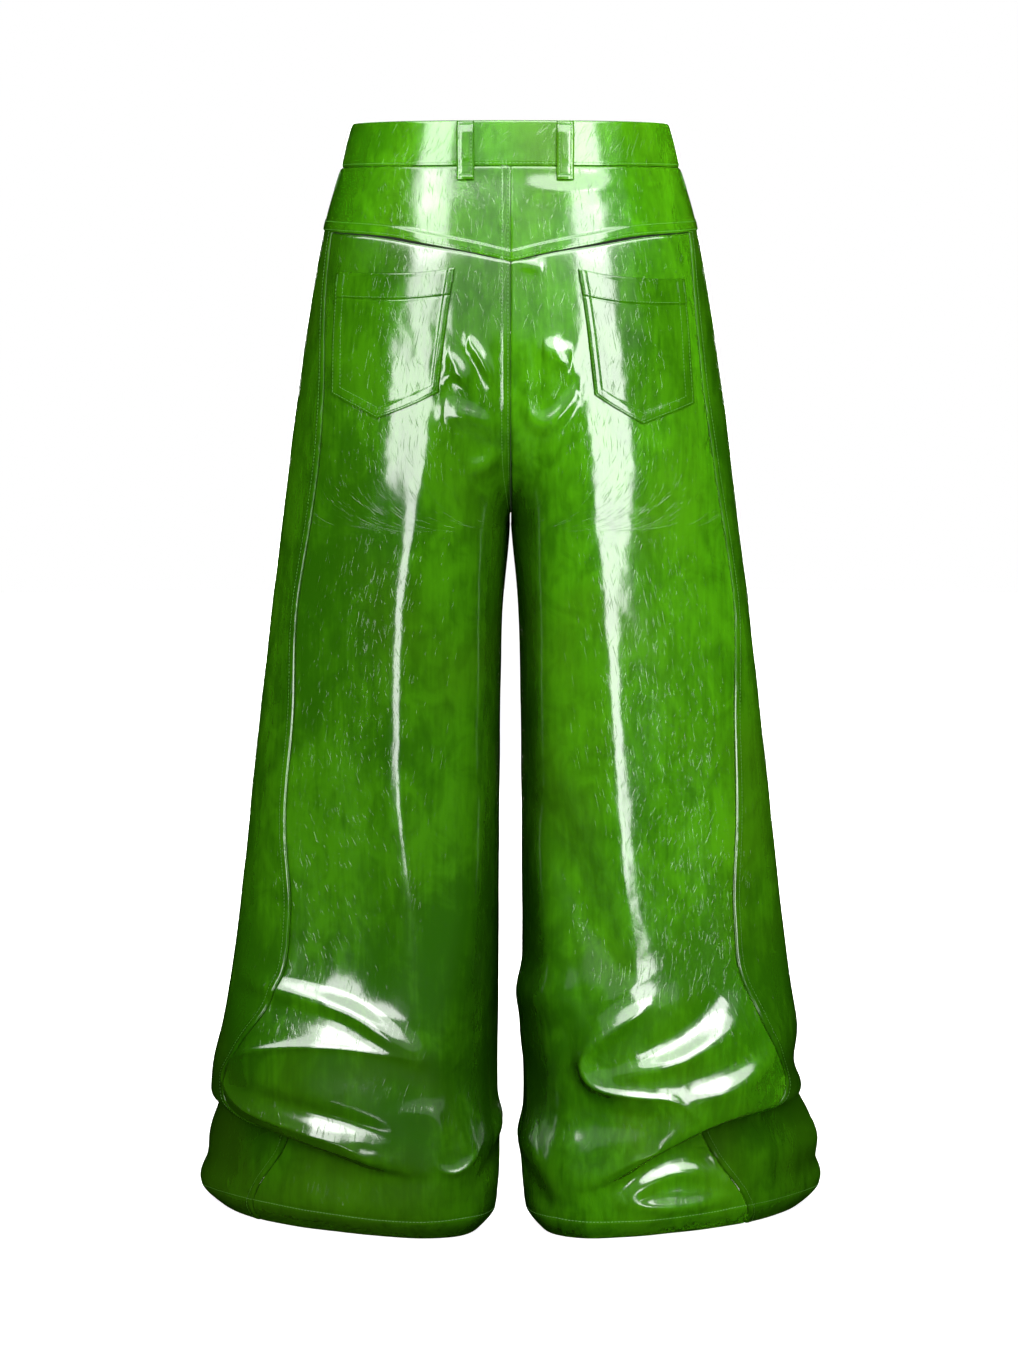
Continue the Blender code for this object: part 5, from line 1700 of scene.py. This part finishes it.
@dataclass
class BeltLoop:
    """A belt loop: a folded strap held at both ends that stands off the band between them.

    Attributes:
        node: name of the solid it stands for.
        side: which half.
        top_u: u of its middle at the top.
        low_u: u of its middle at the foot.
        cut: width and length of the flat cut; not used.
    """

    node: str
    side: Side
    top_u: float
    low_u: float
    cut: Pair = (0.031, 0.070)

    def place(self, across: Array, down: Array) -> tuple[Array, Array]:
        """u and w on the loop, across from -1/2 to 1/2 and down from 0 to 1."""
        w = 0.0004 + LOOP_LENGTH * down + 0.0 * across
        middle = self.top_u + (self.low_u - self.top_u) * down
        width = LOOP_WIDTH / FORM.stretch(self.side, middle, w[:, :1])
        return middle + across * width, w

    def standoff(self, down: Array) -> Array:
        """Height of the loop's inner side: an arch between its held ends."""
        over, last = LOOP_ARCH
        arch = ease_plain(down / over) * ease_plain((last - down) / over)
        return BAND_PROUD + LAYER_GAP + LOOP_STANDOFF * arch

    def lift(self, across: Array, down: Array) -> Array:
        """Height of the loop's face, puffed between two sewn edges."""
        edge = (0.5 - np.abs(across)) * LOOP_WIDTH
        ends = np.minimum(down, 1.0 - down) * LOOP_LENGTH
        puff = 0.0005 * (1.0 - (2.0 * across) ** 4)
        held = 0.0006 * np.exp(-(((ends - LOOP_HELD) / 0.0012) ** 2))
        turned = 0.0012 * np.exp(-((ends / 0.0014) ** 2))
        return self.standoff(down) + BAND_SHEET - 0.0005 + puff + LOOP_EDGE.height(edge) - turned - held

    def grid(self) -> tuple[Array, Array]:
        """Places across and down, close along all edges."""
        close = NEAR[:9] / LOOP_WIDTH
        middle = np.linspace(close[-1] - 0.5, 0.5 - close[-1], 9)[1:-1]
        across = np.concatenate([close - 0.5, middle, 0.5 - close[::-1]])
        close = NEAR[:12] / LOOP_LENGTH
        middle = np.linspace(close[-1], 1.0 - close[-1], 40)[1:-1]
        down = np.concatenate([close, middle, 1.0 - close[::-1]])
        return fitted(across, 10, 1)[None, :], fitted(down, 20)[:, None]

    def build(self, finishes: Finishes, sewing: Sewing) -> None:
        """The loop as a folded sheet, with two edge rows and a bartack at each end."""
        across, down = self.grid()
        u, w = self.place(across, down)
        cloth = ClothGrid.on(self.side, u, w)
        outer = cloth.raised(self.lift(across, down))
        uv = np.stack([cloth.across + LOOP_MAP, w], axis=-1)
        shell = Shell(self.node + "_cloth", outer, cloth.raised(self.standoff(down)), uv)
        piece = shell.build(finishes.patent, finishes.patent)
        settle(piece, self.node)
        report(piece, "belt loop")
        inset = LOOP_EDGE.rows[0] / LOOP_WIDTH
        for aside in (inset - 0.5, 0.5 - inset):
            along, spot = np.linspace(0.03, 0.97, 40)[:, None], np.full((1, 1), aside)
            path_u, path_w = self.place(spot, along)
            lift = self.lift(spot, along)[:, 0]
            sewing.add(self.node, seam_on(self.side, path_u[:, 0], path_w[:, 0], lift))
        for level in (0.075, 0.925):
            wide, spot = np.linspace(-0.36, 0.36, 14)[None, :], np.full((1, 1), level)
            path_u, path_w = self.place(wide, spot)
            lift = self.lift(wide, spot)[0] + 0.0001
            sewing.add(self.node, seam_on(self.side, path_u[0], path_w[0], lift, BARTACK))


@dataclass
class CentreStrip:
    """A strip behind the two front panels: the zip's tape, the fly shield or the seam's allowance below.

    Attributes:
        node: name of the solid it stands for.
        half_width: metres from the centre to each edge.
        foot: w of its lower end.
        lifts: heights over the garment surface at even places from edge to edge.
        thick: its thickness.
        cut: width and length of the flat cut; not used.
        top: w of its upper end.
        stands: True if it stands for its node's solid, False if it is that panel's seam allowance.
        columns: columns from edge to edge.
        rows: rows from end to end.
    """

    node: str
    half_width: float
    foot: float
    lifts: tuple[float, ...]
    thick: float
    cut: Pair
    top: float = CENTRE_TOP
    stands: bool = True
    columns: int = 37
    rows: int = 91

    def place(self, turn: Array, w: Array, lift: Array) -> Array:
        """Points of the strip, with turn from below 1 on the wearer's right to above 1 on the left."""
        across = np.where(turn > 1.0, 2.0 - turn, turn)
        right = FORM.lifted(Side.RIGHT, across, w, lift)
        left = FORM.lifted(Side.LEFT, across, w, lift)
        points = np.where((turn > 1.0)[..., None], left, right)
        points[np.abs(turn - 1.0) < 1e-9, 0] = 0.0
        return points

    def build(self, finish: Material) -> None:
        """The strip as a hanging sheet."""
        reach = self.half_width / FRONT_WIDTH
        turn = 1.0 + np.linspace(-reach, reach, self.columns)
        turn, w = np.meshgrid(turn, np.linspace(self.top, self.foot, self.rows))
        share, knots = np.linspace(0.0, 1.0, self.columns), np.linspace(0.0, 1.0, len(self.lifts))
        lift = np.broadcast_to(np.interp(share, knots, self.lifts), turn.shape)
        uv = np.stack([(turn - 1.0) * FRONT_WIDTH, w], axis=-1)
        name = self.node + ("_cloth" if self.stands else "_seam_allowance")
        shell = Shell(name, self.place(turn, w, lift), self.place(turn, w, lift - self.thick), uv)
        piece = shell.build(finish, finish)
        if self.stands:
            settle(piece, self.node)
        else:
            dress(piece)
        report(piece, "behind the centre front")


@dataclass
class ZipTeeth:
    """Two rows of moulded teeth on the zip's tape, set a half step apart so that they lock.

    Attributes:
        pitch: metres between the teeth of one row.
        size: width across the tape, height along it and depth of a tooth.
        inset: how far the first and last tooth lie from the tape's ends.
        apart: how far each row stands from the middle.
        taper: share of a tooth's size at its top.
    """

    pitch: float = 0.0020
    size: Triple = (0.0026, 0.0010, 0.0009)
    inset: float = 0.006
    apart: float = 0.0006
    taper: float = 0.7

    def build(self, strip: CentreStrip, material: Material) -> None:
        """One mesh of blocks, each drawn in towards its top."""
        count = 2 * int((strip.foot - self.inset - BAND_DROP - self.inset) / self.pitch)
        w = BAND_DROP + self.inset + self.pitch * np.arange(count) / 2.0
        side = np.where(np.arange(count) % 2 == 0, 1.0, -1.0)
        spot = 1.0 + side * self.apart / FRONT_WIDTH
        lift = np.full(w.shape, strip.lifts[0] - strip.thick)
        middle = strip.place(spot, w, lift)
        below = strip.place(spot, w + 0.001, lift) - middle
        below /= np.linalg.norm(below, axis=1, keepdims=True)
        across = np.broadcast_to((1.0, 0.0, 0.0), below.shape)
        back = np.cross(below, across)
        back *= np.sign(back[:, 1:2]) * -1.0
        corner = np.array([(x, z, y) for y in (0.0, 1.0) for z in (-0.5, 0.5) for x in (-0.5, 0.5)])
        corner[4:, :2] *= self.taper
        box = (corner * self.size)[None, ..., None]
        ways = np.stack([across, below, back], axis=1)[:, None]
        points = middle[:, None] + (box * ways).sum(axis=2)
        quads = np.array([(0, 2, 3, 1), (4, 5, 7, 6), (0, 1, 5, 4), (1, 3, 7, 5), (3, 2, 6, 7), (2, 0, 4, 6)])
        first = (np.arange(count) * len(corner))[:, None, None]
        piece = mesh_object("zip_teeth", points, [(quads[None] + first).reshape(-1, 4)], [material])
        dress(piece)
        report(piece, f"{count} teeth")


# Share of the button's radius, and height in metres, from its shank's foot over the rim to the dome's middle.
BUTTON_PROFILE = np.array(
    [
        *((0.0, 0.0), (0.44, 0.0), (0.45, 0.0006), (0.46, 0.0012), (0.92, 0.0013), (0.985, 0.0016)),
        *((1.0, 0.0021), (0.985, 0.0027), (0.94, 0.0031), (0.86, 0.0033), (0.78, 0.0031), (0.74, 0.0029)),
        *((0.68, 0.0030), (0.52, 0.0033), (0.30, 0.0035), (0.12, 0.00358), (0.0, 0.0036)),
    ]
)


@dataclass
class WaistButton:
    """A domed metal button with a rim, on the waistband's upper end.

    Attributes:
        radius: metres.
        around: steps round it.
        steps: points of its profile.
    """

    radius: float = 0.0085
    around: int = 72
    steps: int = 60

    def profile(self) -> Array:
        """Radius and height in metres at even steps along the profile."""
        knots = BUTTON_PROFILE * (self.radius, 1.0)
        way = way_along(knots)
        at = np.linspace(0.0, way[-1], self.steps)
        return np.stack([np.interp(at, way, knots[:, k]) for k in (0, 1)], axis=1)

    def build(self, band: Waistband, material: Material) -> None:
        """The button turned about the band's outward direction."""
        turn, w = np.array([[-1.0 - BUTTON_INSET / FRONT_WIDTH]]), np.array([[BUTTON_DROP]])
        lift = BAND_PROUD + BAND_SHEET + SEAM_GAP + LAYER_GAP
        seat = band.point(turn, w, np.array([[lift]]))[0, 0]
        axis = band.point(turn, w, np.array([[lift + 0.001]]))[0, 0] - seat
        axis[0] = 0.0
        axis /= np.linalg.norm(axis)
        first = np.array([1.0, 0.0, 0.0])
        second = np.cross(axis, first)
        profile = self.profile()[1:-1]
        angle = np.linspace(0.0, 2.0 * math.pi, self.around, endpoint=False)
        circle = np.cos(angle)[:, None] * first + np.sin(angle)[:, None] * second
        points = seat + axis * profile[:, None, 1:2] + circle[None] * profile[:, None, 0:1]
        number = np.arange(len(profile) * self.around).reshape(len(profile), self.around)
        walls = tube_quads(number)[:, [0, 3, 2, 1]]
        piece = mesh_object("waist_button_metal", points, [walls, number[:1, ::-1], number[-1:]], [material])
        settle(piece, "waist_button")
        report(piece, "domed")


@dataclass(frozen=True)
class Lit:
    """The pieces that a light falls on, as flags between it and the others would have it.

    Attributes:
        starts: how their names may begin.
        lacks: words that their names don't hold.
    """

    starts: tuple[str, ...] = ("",)
    lacks: tuple[str, ...] = ()

    def holds(self, name: str) -> bool:
        """True for a piece of that name."""
        return name.startswith(self.starts) and not any(word in name for word in self.lacks)


@dataclass(frozen=True)
class SoftBox:
    """A soft rectangular light, which the camera doesn't see.

    Attributes:
        name: its name.
        place: where it stands.
        aim: the point it faces.
        size: width and height in metres.
        bright: its radiance, so that its power is pi times area times this.
        glossy: False where gloss doesn't show it.
        diffuse: False where it is only seen in gloss.
        lit: the pieces it falls on, or None for everything.
    """

    name: str
    place: Triple
    aim: Triple
    size: Pair
    bright: float
    glossy: bool = True
    diffuse: bool = True
    lit: Lit | None = None

    def set_up(self) -> None:
        """Puts the light in the scene."""
        light = bpy.data.lights.new(self.name, "AREA")
        light.shape = "RECTANGLE"
        light.size, light.size_y = self.size
        light.energy = math.pi * self.size[0] * self.size[1] * self.bright
        thing = bpy.data.objects.new(self.name, light)
        bpy.context.scene.collection.objects.link(thing)
        thing.location = self.place
        thing.rotation_euler = (Vector(self.place) - Vector(self.aim)).to_track_quat("Z", "Y").to_euler()
        thing.visible_camera = False
        thing.visible_glossy = self.glossy
        thing.visible_diffuse = self.diffuse
        if self.lit is not None:
            lit = bpy.data.collections.new(self.name + "_lit")
            for piece in bpy.context.scene.objects:
                if piece.type == "MESH" and self.lit.holds(piece.name):
                    lit.objects.link(piece)
            thing.light_linking.receiver_collection = lit


@dataclass(frozen=True)
class StripPair:
    """Two upright strips, one for each half of the garment, mirrored and kept off the other half.

    Attributes:
        name: what they are called.
        azimuth: degrees from the view's axis behind the camera.
        aside: how far from the middle they face.
        height: of their middle.
        size: width and height in metres.
        bright: radiance of the left one and of the right one.
        unlit: words in the names of other pieces that they are kept off.
    """

    name: str
    azimuth: float
    aside: float
    height: float
    size: Pair
    bright: Pair
    unlit: tuple[str, ...] = ()

    def set_up(self) -> None:
        """Puts both strips in the scene."""
        angle = math.radians(self.azimuth)
        away, out = -math.cos(angle) * STRIP_DISTANCE, math.sin(angle) * STRIP_DISTANCE
        for side, other, bright in zip(Side, reversed(Side), self.bright):
            place = (side.sign * out, away, self.height)
            aim = (side.sign * self.aside, 0.0, self.height)
            lit = Lit(lacks=(*self.unlit, other.value))
            SoftBox(f"strip_{self.name}_{side.value}", place, aim, self.size, bright, lit=lit).set_up()


STRIP_DISTANCE = 2.6
STRIPS = (
    StripPair("main", 36.0, 0.08, 0.30, (0.80, 2.70), (15.5, 18.5)),
    StripPair("foot", 31.0, 0.08, -1.175, (0.46, 0.25), (15.5, 18.5)),
    StripPair("far", 166.0, 0.0, 0.30, (0.40, 2.70), (9.0, 9.0), ("back", "yoke")),
)
LEGS = (0.0, 0.0, -0.60)
BACK_LEGS = Lit(("back_",), ("pocket",))
HIPS = Lit(("waistband", "yoke", "belt_loop"))
# First those that only gleam on the folds, then those that only light the dye, and a wide one that does both.
SOFT_BOXES = (
    SoftBox("overhead", (0.0, -1.5, 2.2), LEGS, (5.0, 2.0), 12.0, diffuse=False),
    SoftBox("gleam_front", (0.0, -4.5, 3.0), LEGS, (9.0, 2.1), 12.0, diffuse=False, lit=BACK_LEGS),
    SoftBox("gleam_left", (-3.4, -1.4, 2.6), LEGS, (4.0, 2.2), 12.0, diffuse=False, lit=BACK_LEGS),
    SoftBox("gleam_right", (3.4, -1.4, 2.6), LEGS, (4.0, 2.2), 12.0, diffuse=False, lit=BACK_LEGS),
    SoftBox("seat_fill", (0.15, -0.95, 0.22), (0.02, 0.0, -0.14), (0.8, 0.4), 23.0, glossy=False),
    SoftBox("hips_fill", (0.1, -1.6, 0.9), (0.0, 0.0, -0.10), (1.4, 0.8), 17.0, glossy=False, lit=HIPS),
    SoftBox("far_fill", (0.5, 2.6, 0.4), (0.0, 0.0, -0.40), (2.0, 1.6), 15.0, glossy=False),
    SoftBox("floor_bounce", (0.0, -0.75, -0.99), (0.0, -0.15, -1.0), (1.1, 0.2), 8.0, glossy=False),
    SoftBox("wide_front", (1.2, -5.0, 2.2), (0.0, 0.0, -0.30), (11.0, 4.6), 0.8),
)
SURROUND = 0.14  # strength of the white surround as light; the camera sees it at 1
FLOOR_RINGS = np.array([0.4, 1.2, 3.0, 7.0])  # radii
FLOOR_STEPS = 48
FLOOR_CLEAR = 0.0004  # how far the floor lies under the hems
FLAG_LEVELS = (-0.985, -0.800)  # heights of the card's edges
FLAG_HALF_WIDTH = 1.2
FLAG_DISTANCE = 0.60
LENS, SENSOR = 102.62, 36.0
CAMERA_PLACE = (-0.0014, -3.6, -0.125)
CAMERA_PITCH = 6.17  # degrees down


class Studio:
    """Floor, lights and camera."""

    def floor(self) -> None:
        """A pale floor under the hems, rings of quads out to seven metres, unseen in reflections."""
        ring = np.linspace(0.0, 2.0 * math.pi, FLOOR_STEPS, endpoint=False)
        number = np.arange(len(FLOOR_RINGS) * FLOOR_STEPS).reshape(len(FLOOR_RINGS), FLOOR_STEPS)
        level = np.full(number.shape, -FLOOR_DROP - FLOOR_CLEAR)
        reach = FLOOR_RINGS[:, None]
        points = np.stack([reach * np.cos(ring), reach * np.sin(ring), level], axis=-1)
        nodes = Nodes("studio_floor")
        specks = nodes.noise(FLOOR_SPECKS)
        nodes.feed(nodes.blend(specks, (0.88, 0.88, 0.88), (0.92, 0.92, 0.92)), "Base Color")
        nodes.fix({"Roughness": 0.9, "Specular IOR Level": 0.0})
        nodes.fix({"Emission Color": (1.0, 1.0, 1.0, 1.0), "Emission Strength": 1.0})
        floor = mesh_object("studio_floor", points, [tube_quads(number), number[:1]], [nodes.material])
        floor.visible_glossy = False
        floor.visible_diffuse = False

    def flag(self) -> None:
        """A black card low behind the hems, which keeps the strips' gleam off the piled-up cloth."""
        wide = (-FLAG_HALF_WIDTH, FLAG_HALF_WIDTH)
        points = np.array([(x, -FLAG_DISTANCE, z) for z in FLAG_LEVELS for x in wide])
        nodes = Nodes("studio_flag")
        weave = nodes.noise(FLAG_WEAVE)
        nodes.feed(nodes.blend(weave, (0.002, 0.002, 0.002), (0.004, 0.004, 0.004)), "Base Color")
        nodes.fix({"Specular IOR Level": 0.0})
        flag = mesh_object("studio_flag", points, [np.array([(0, 1, 3, 2)])], [nodes.material])
        flag.visible_camera = False
        flag.visible_diffuse = False

    def surround(self) -> None:
        """A white surround, bright to the camera, dim as light and absent from gloss."""
        world = bpy.data.worlds.new("studio")
        world.use_nodes = True
        tree = world.node_tree
        background = tree.nodes["Background"]
        background.inputs["Color"].default_value = (1.0, 1.0, 1.0, 1.0)
        ray = tree.nodes.new("ShaderNodeLightPath")
        strength = tree.nodes.new("ShaderNodeMapRange")
        strength.inputs["To Min"].default_value = SURROUND
        tree.links.new(ray.outputs["Is Camera Ray"], strength.inputs["Value"])
        tree.links.new(strength.outputs["Result"], background.inputs["Strength"])
        world.cycles_visibility.glossy = False
        bpy.context.scene.world = world

    def camera(self) -> None:
        """The camera, level with the hips and looking down a little."""
        data = bpy.data.cameras.new("camera")
        data.lens, data.sensor_width, data.sensor_fit = LENS, SENSOR, "AUTO"
        camera = bpy.data.objects.new("camera", data)
        camera.location = CAMERA_PLACE
        camera.rotation_euler = (math.radians(90.0 - CAMERA_PITCH), 0.0, 0.0)
        bpy.context.scene.collection.objects.link(camera)
        bpy.context.scene.camera = camera
        bpy.context.scene.view_settings.view_transform = "Standard"

    def build(self) -> None:
        """Everything that isn't the garment, lights first, because they pick the pieces they fall on."""
        for light in (*STRIPS, *SOFT_BOXES):
            light.set_up()
        self.surround()
        self.floor()
        self.flag()
        self.camera()


def sew_fly(sewing: Sewing) -> None:
    """The fly's two rows of stitches, straight down and then turned to the centre."""
    down = np.linspace(*FLY_SPAN, FLY_STEPS)
    for row in FLY_ROWS:
        out = fly_width(row, down) / FORM.stretch(Side.LEFT, np.full(FLY_STEPS, FLY_PLACE), down)
        sewing.add("front_left", seam_on(Side.LEFT, 1.0 - out, down, FLY_LIFT))


def fly(finishes: Finishes) -> None:
    """The zip's tape and teeth, the shield behind them and the seam's allowance below."""
    sewn, free = -SHEET - LAYER_GAP, SHIELD_DROP
    top = CENTRE_TOP
    tape = CentreStrip("zip", 0.0120, top + FLY_LENGTH - 0.010, (sewn, sewn), 0.0007, (0.024, 0.142))
    tape.build(finishes.tape)
    ZipTeeth().build(tape, finishes.steel)
    bow = (sewn, sewn, free, free, free, free, free, sewn, sewn)
    CentreStrip("fly_shield", 0.0260, top + FLY_LENGTH, bow, SHEET, (0.054, 0.150)).build(finishes.inside)
    start, end = top + FLY_LENGTH + 0.002, CROTCH_DROP - 0.006
    allowance = CentreStrip(
        "front_left", 0.0080, end, (sewn, sewn), 0.0010, (0.016, end - start), top=start, stands=False
    )
    allowance.build(finishes.inside)


def garment(finishes: Finishes) -> None:
    """Every piece of the trousers, from the legs up."""
    sewing = Sewing()
    for side in Side:
        Panel(side, True, 119, (0.0019, 0.0026, 0.00105), cut=(0.38, 1.00)).build(finishes, sewing)
        Panel(side, False, 71, (0.0030, 0.0050, 0.0018), cut=(0.52, 1.06)).build(finishes, sewing)
        Yoke(side).build(finishes, sewing)
        BackPocket(side).build(finishes, sewing)
        BeltLoop("belt_loop_back_" + side.value, side, *BACK_LOOPS[side.value]).build(finishes, sewing)
        BeltLoop("belt_loop_front_" + side.value, side, *FRONT_LOOPS[side.value]).build(finishes, sewing)
    sew_fly(sewing)
    band = Waistband()
    band.build(finishes, sewing)
    sewing.build(finishes.thread)
    WaistButton().build(band, finishes.steel)
    fly(finishes)


def main() -> None:
    """Builds the garment and the studio, piece by piece."""
    logging.basicConfig(level=logging.INFO, format="%(name)s %(message)s")
    finishes = Finishes()
    garment(finishes)
    slider = frame["nodes"]["zip_slider"]
    slider.data.materials[0] = finishes.steel
    Studio().build()


if __name__ == "__main__":
    main()
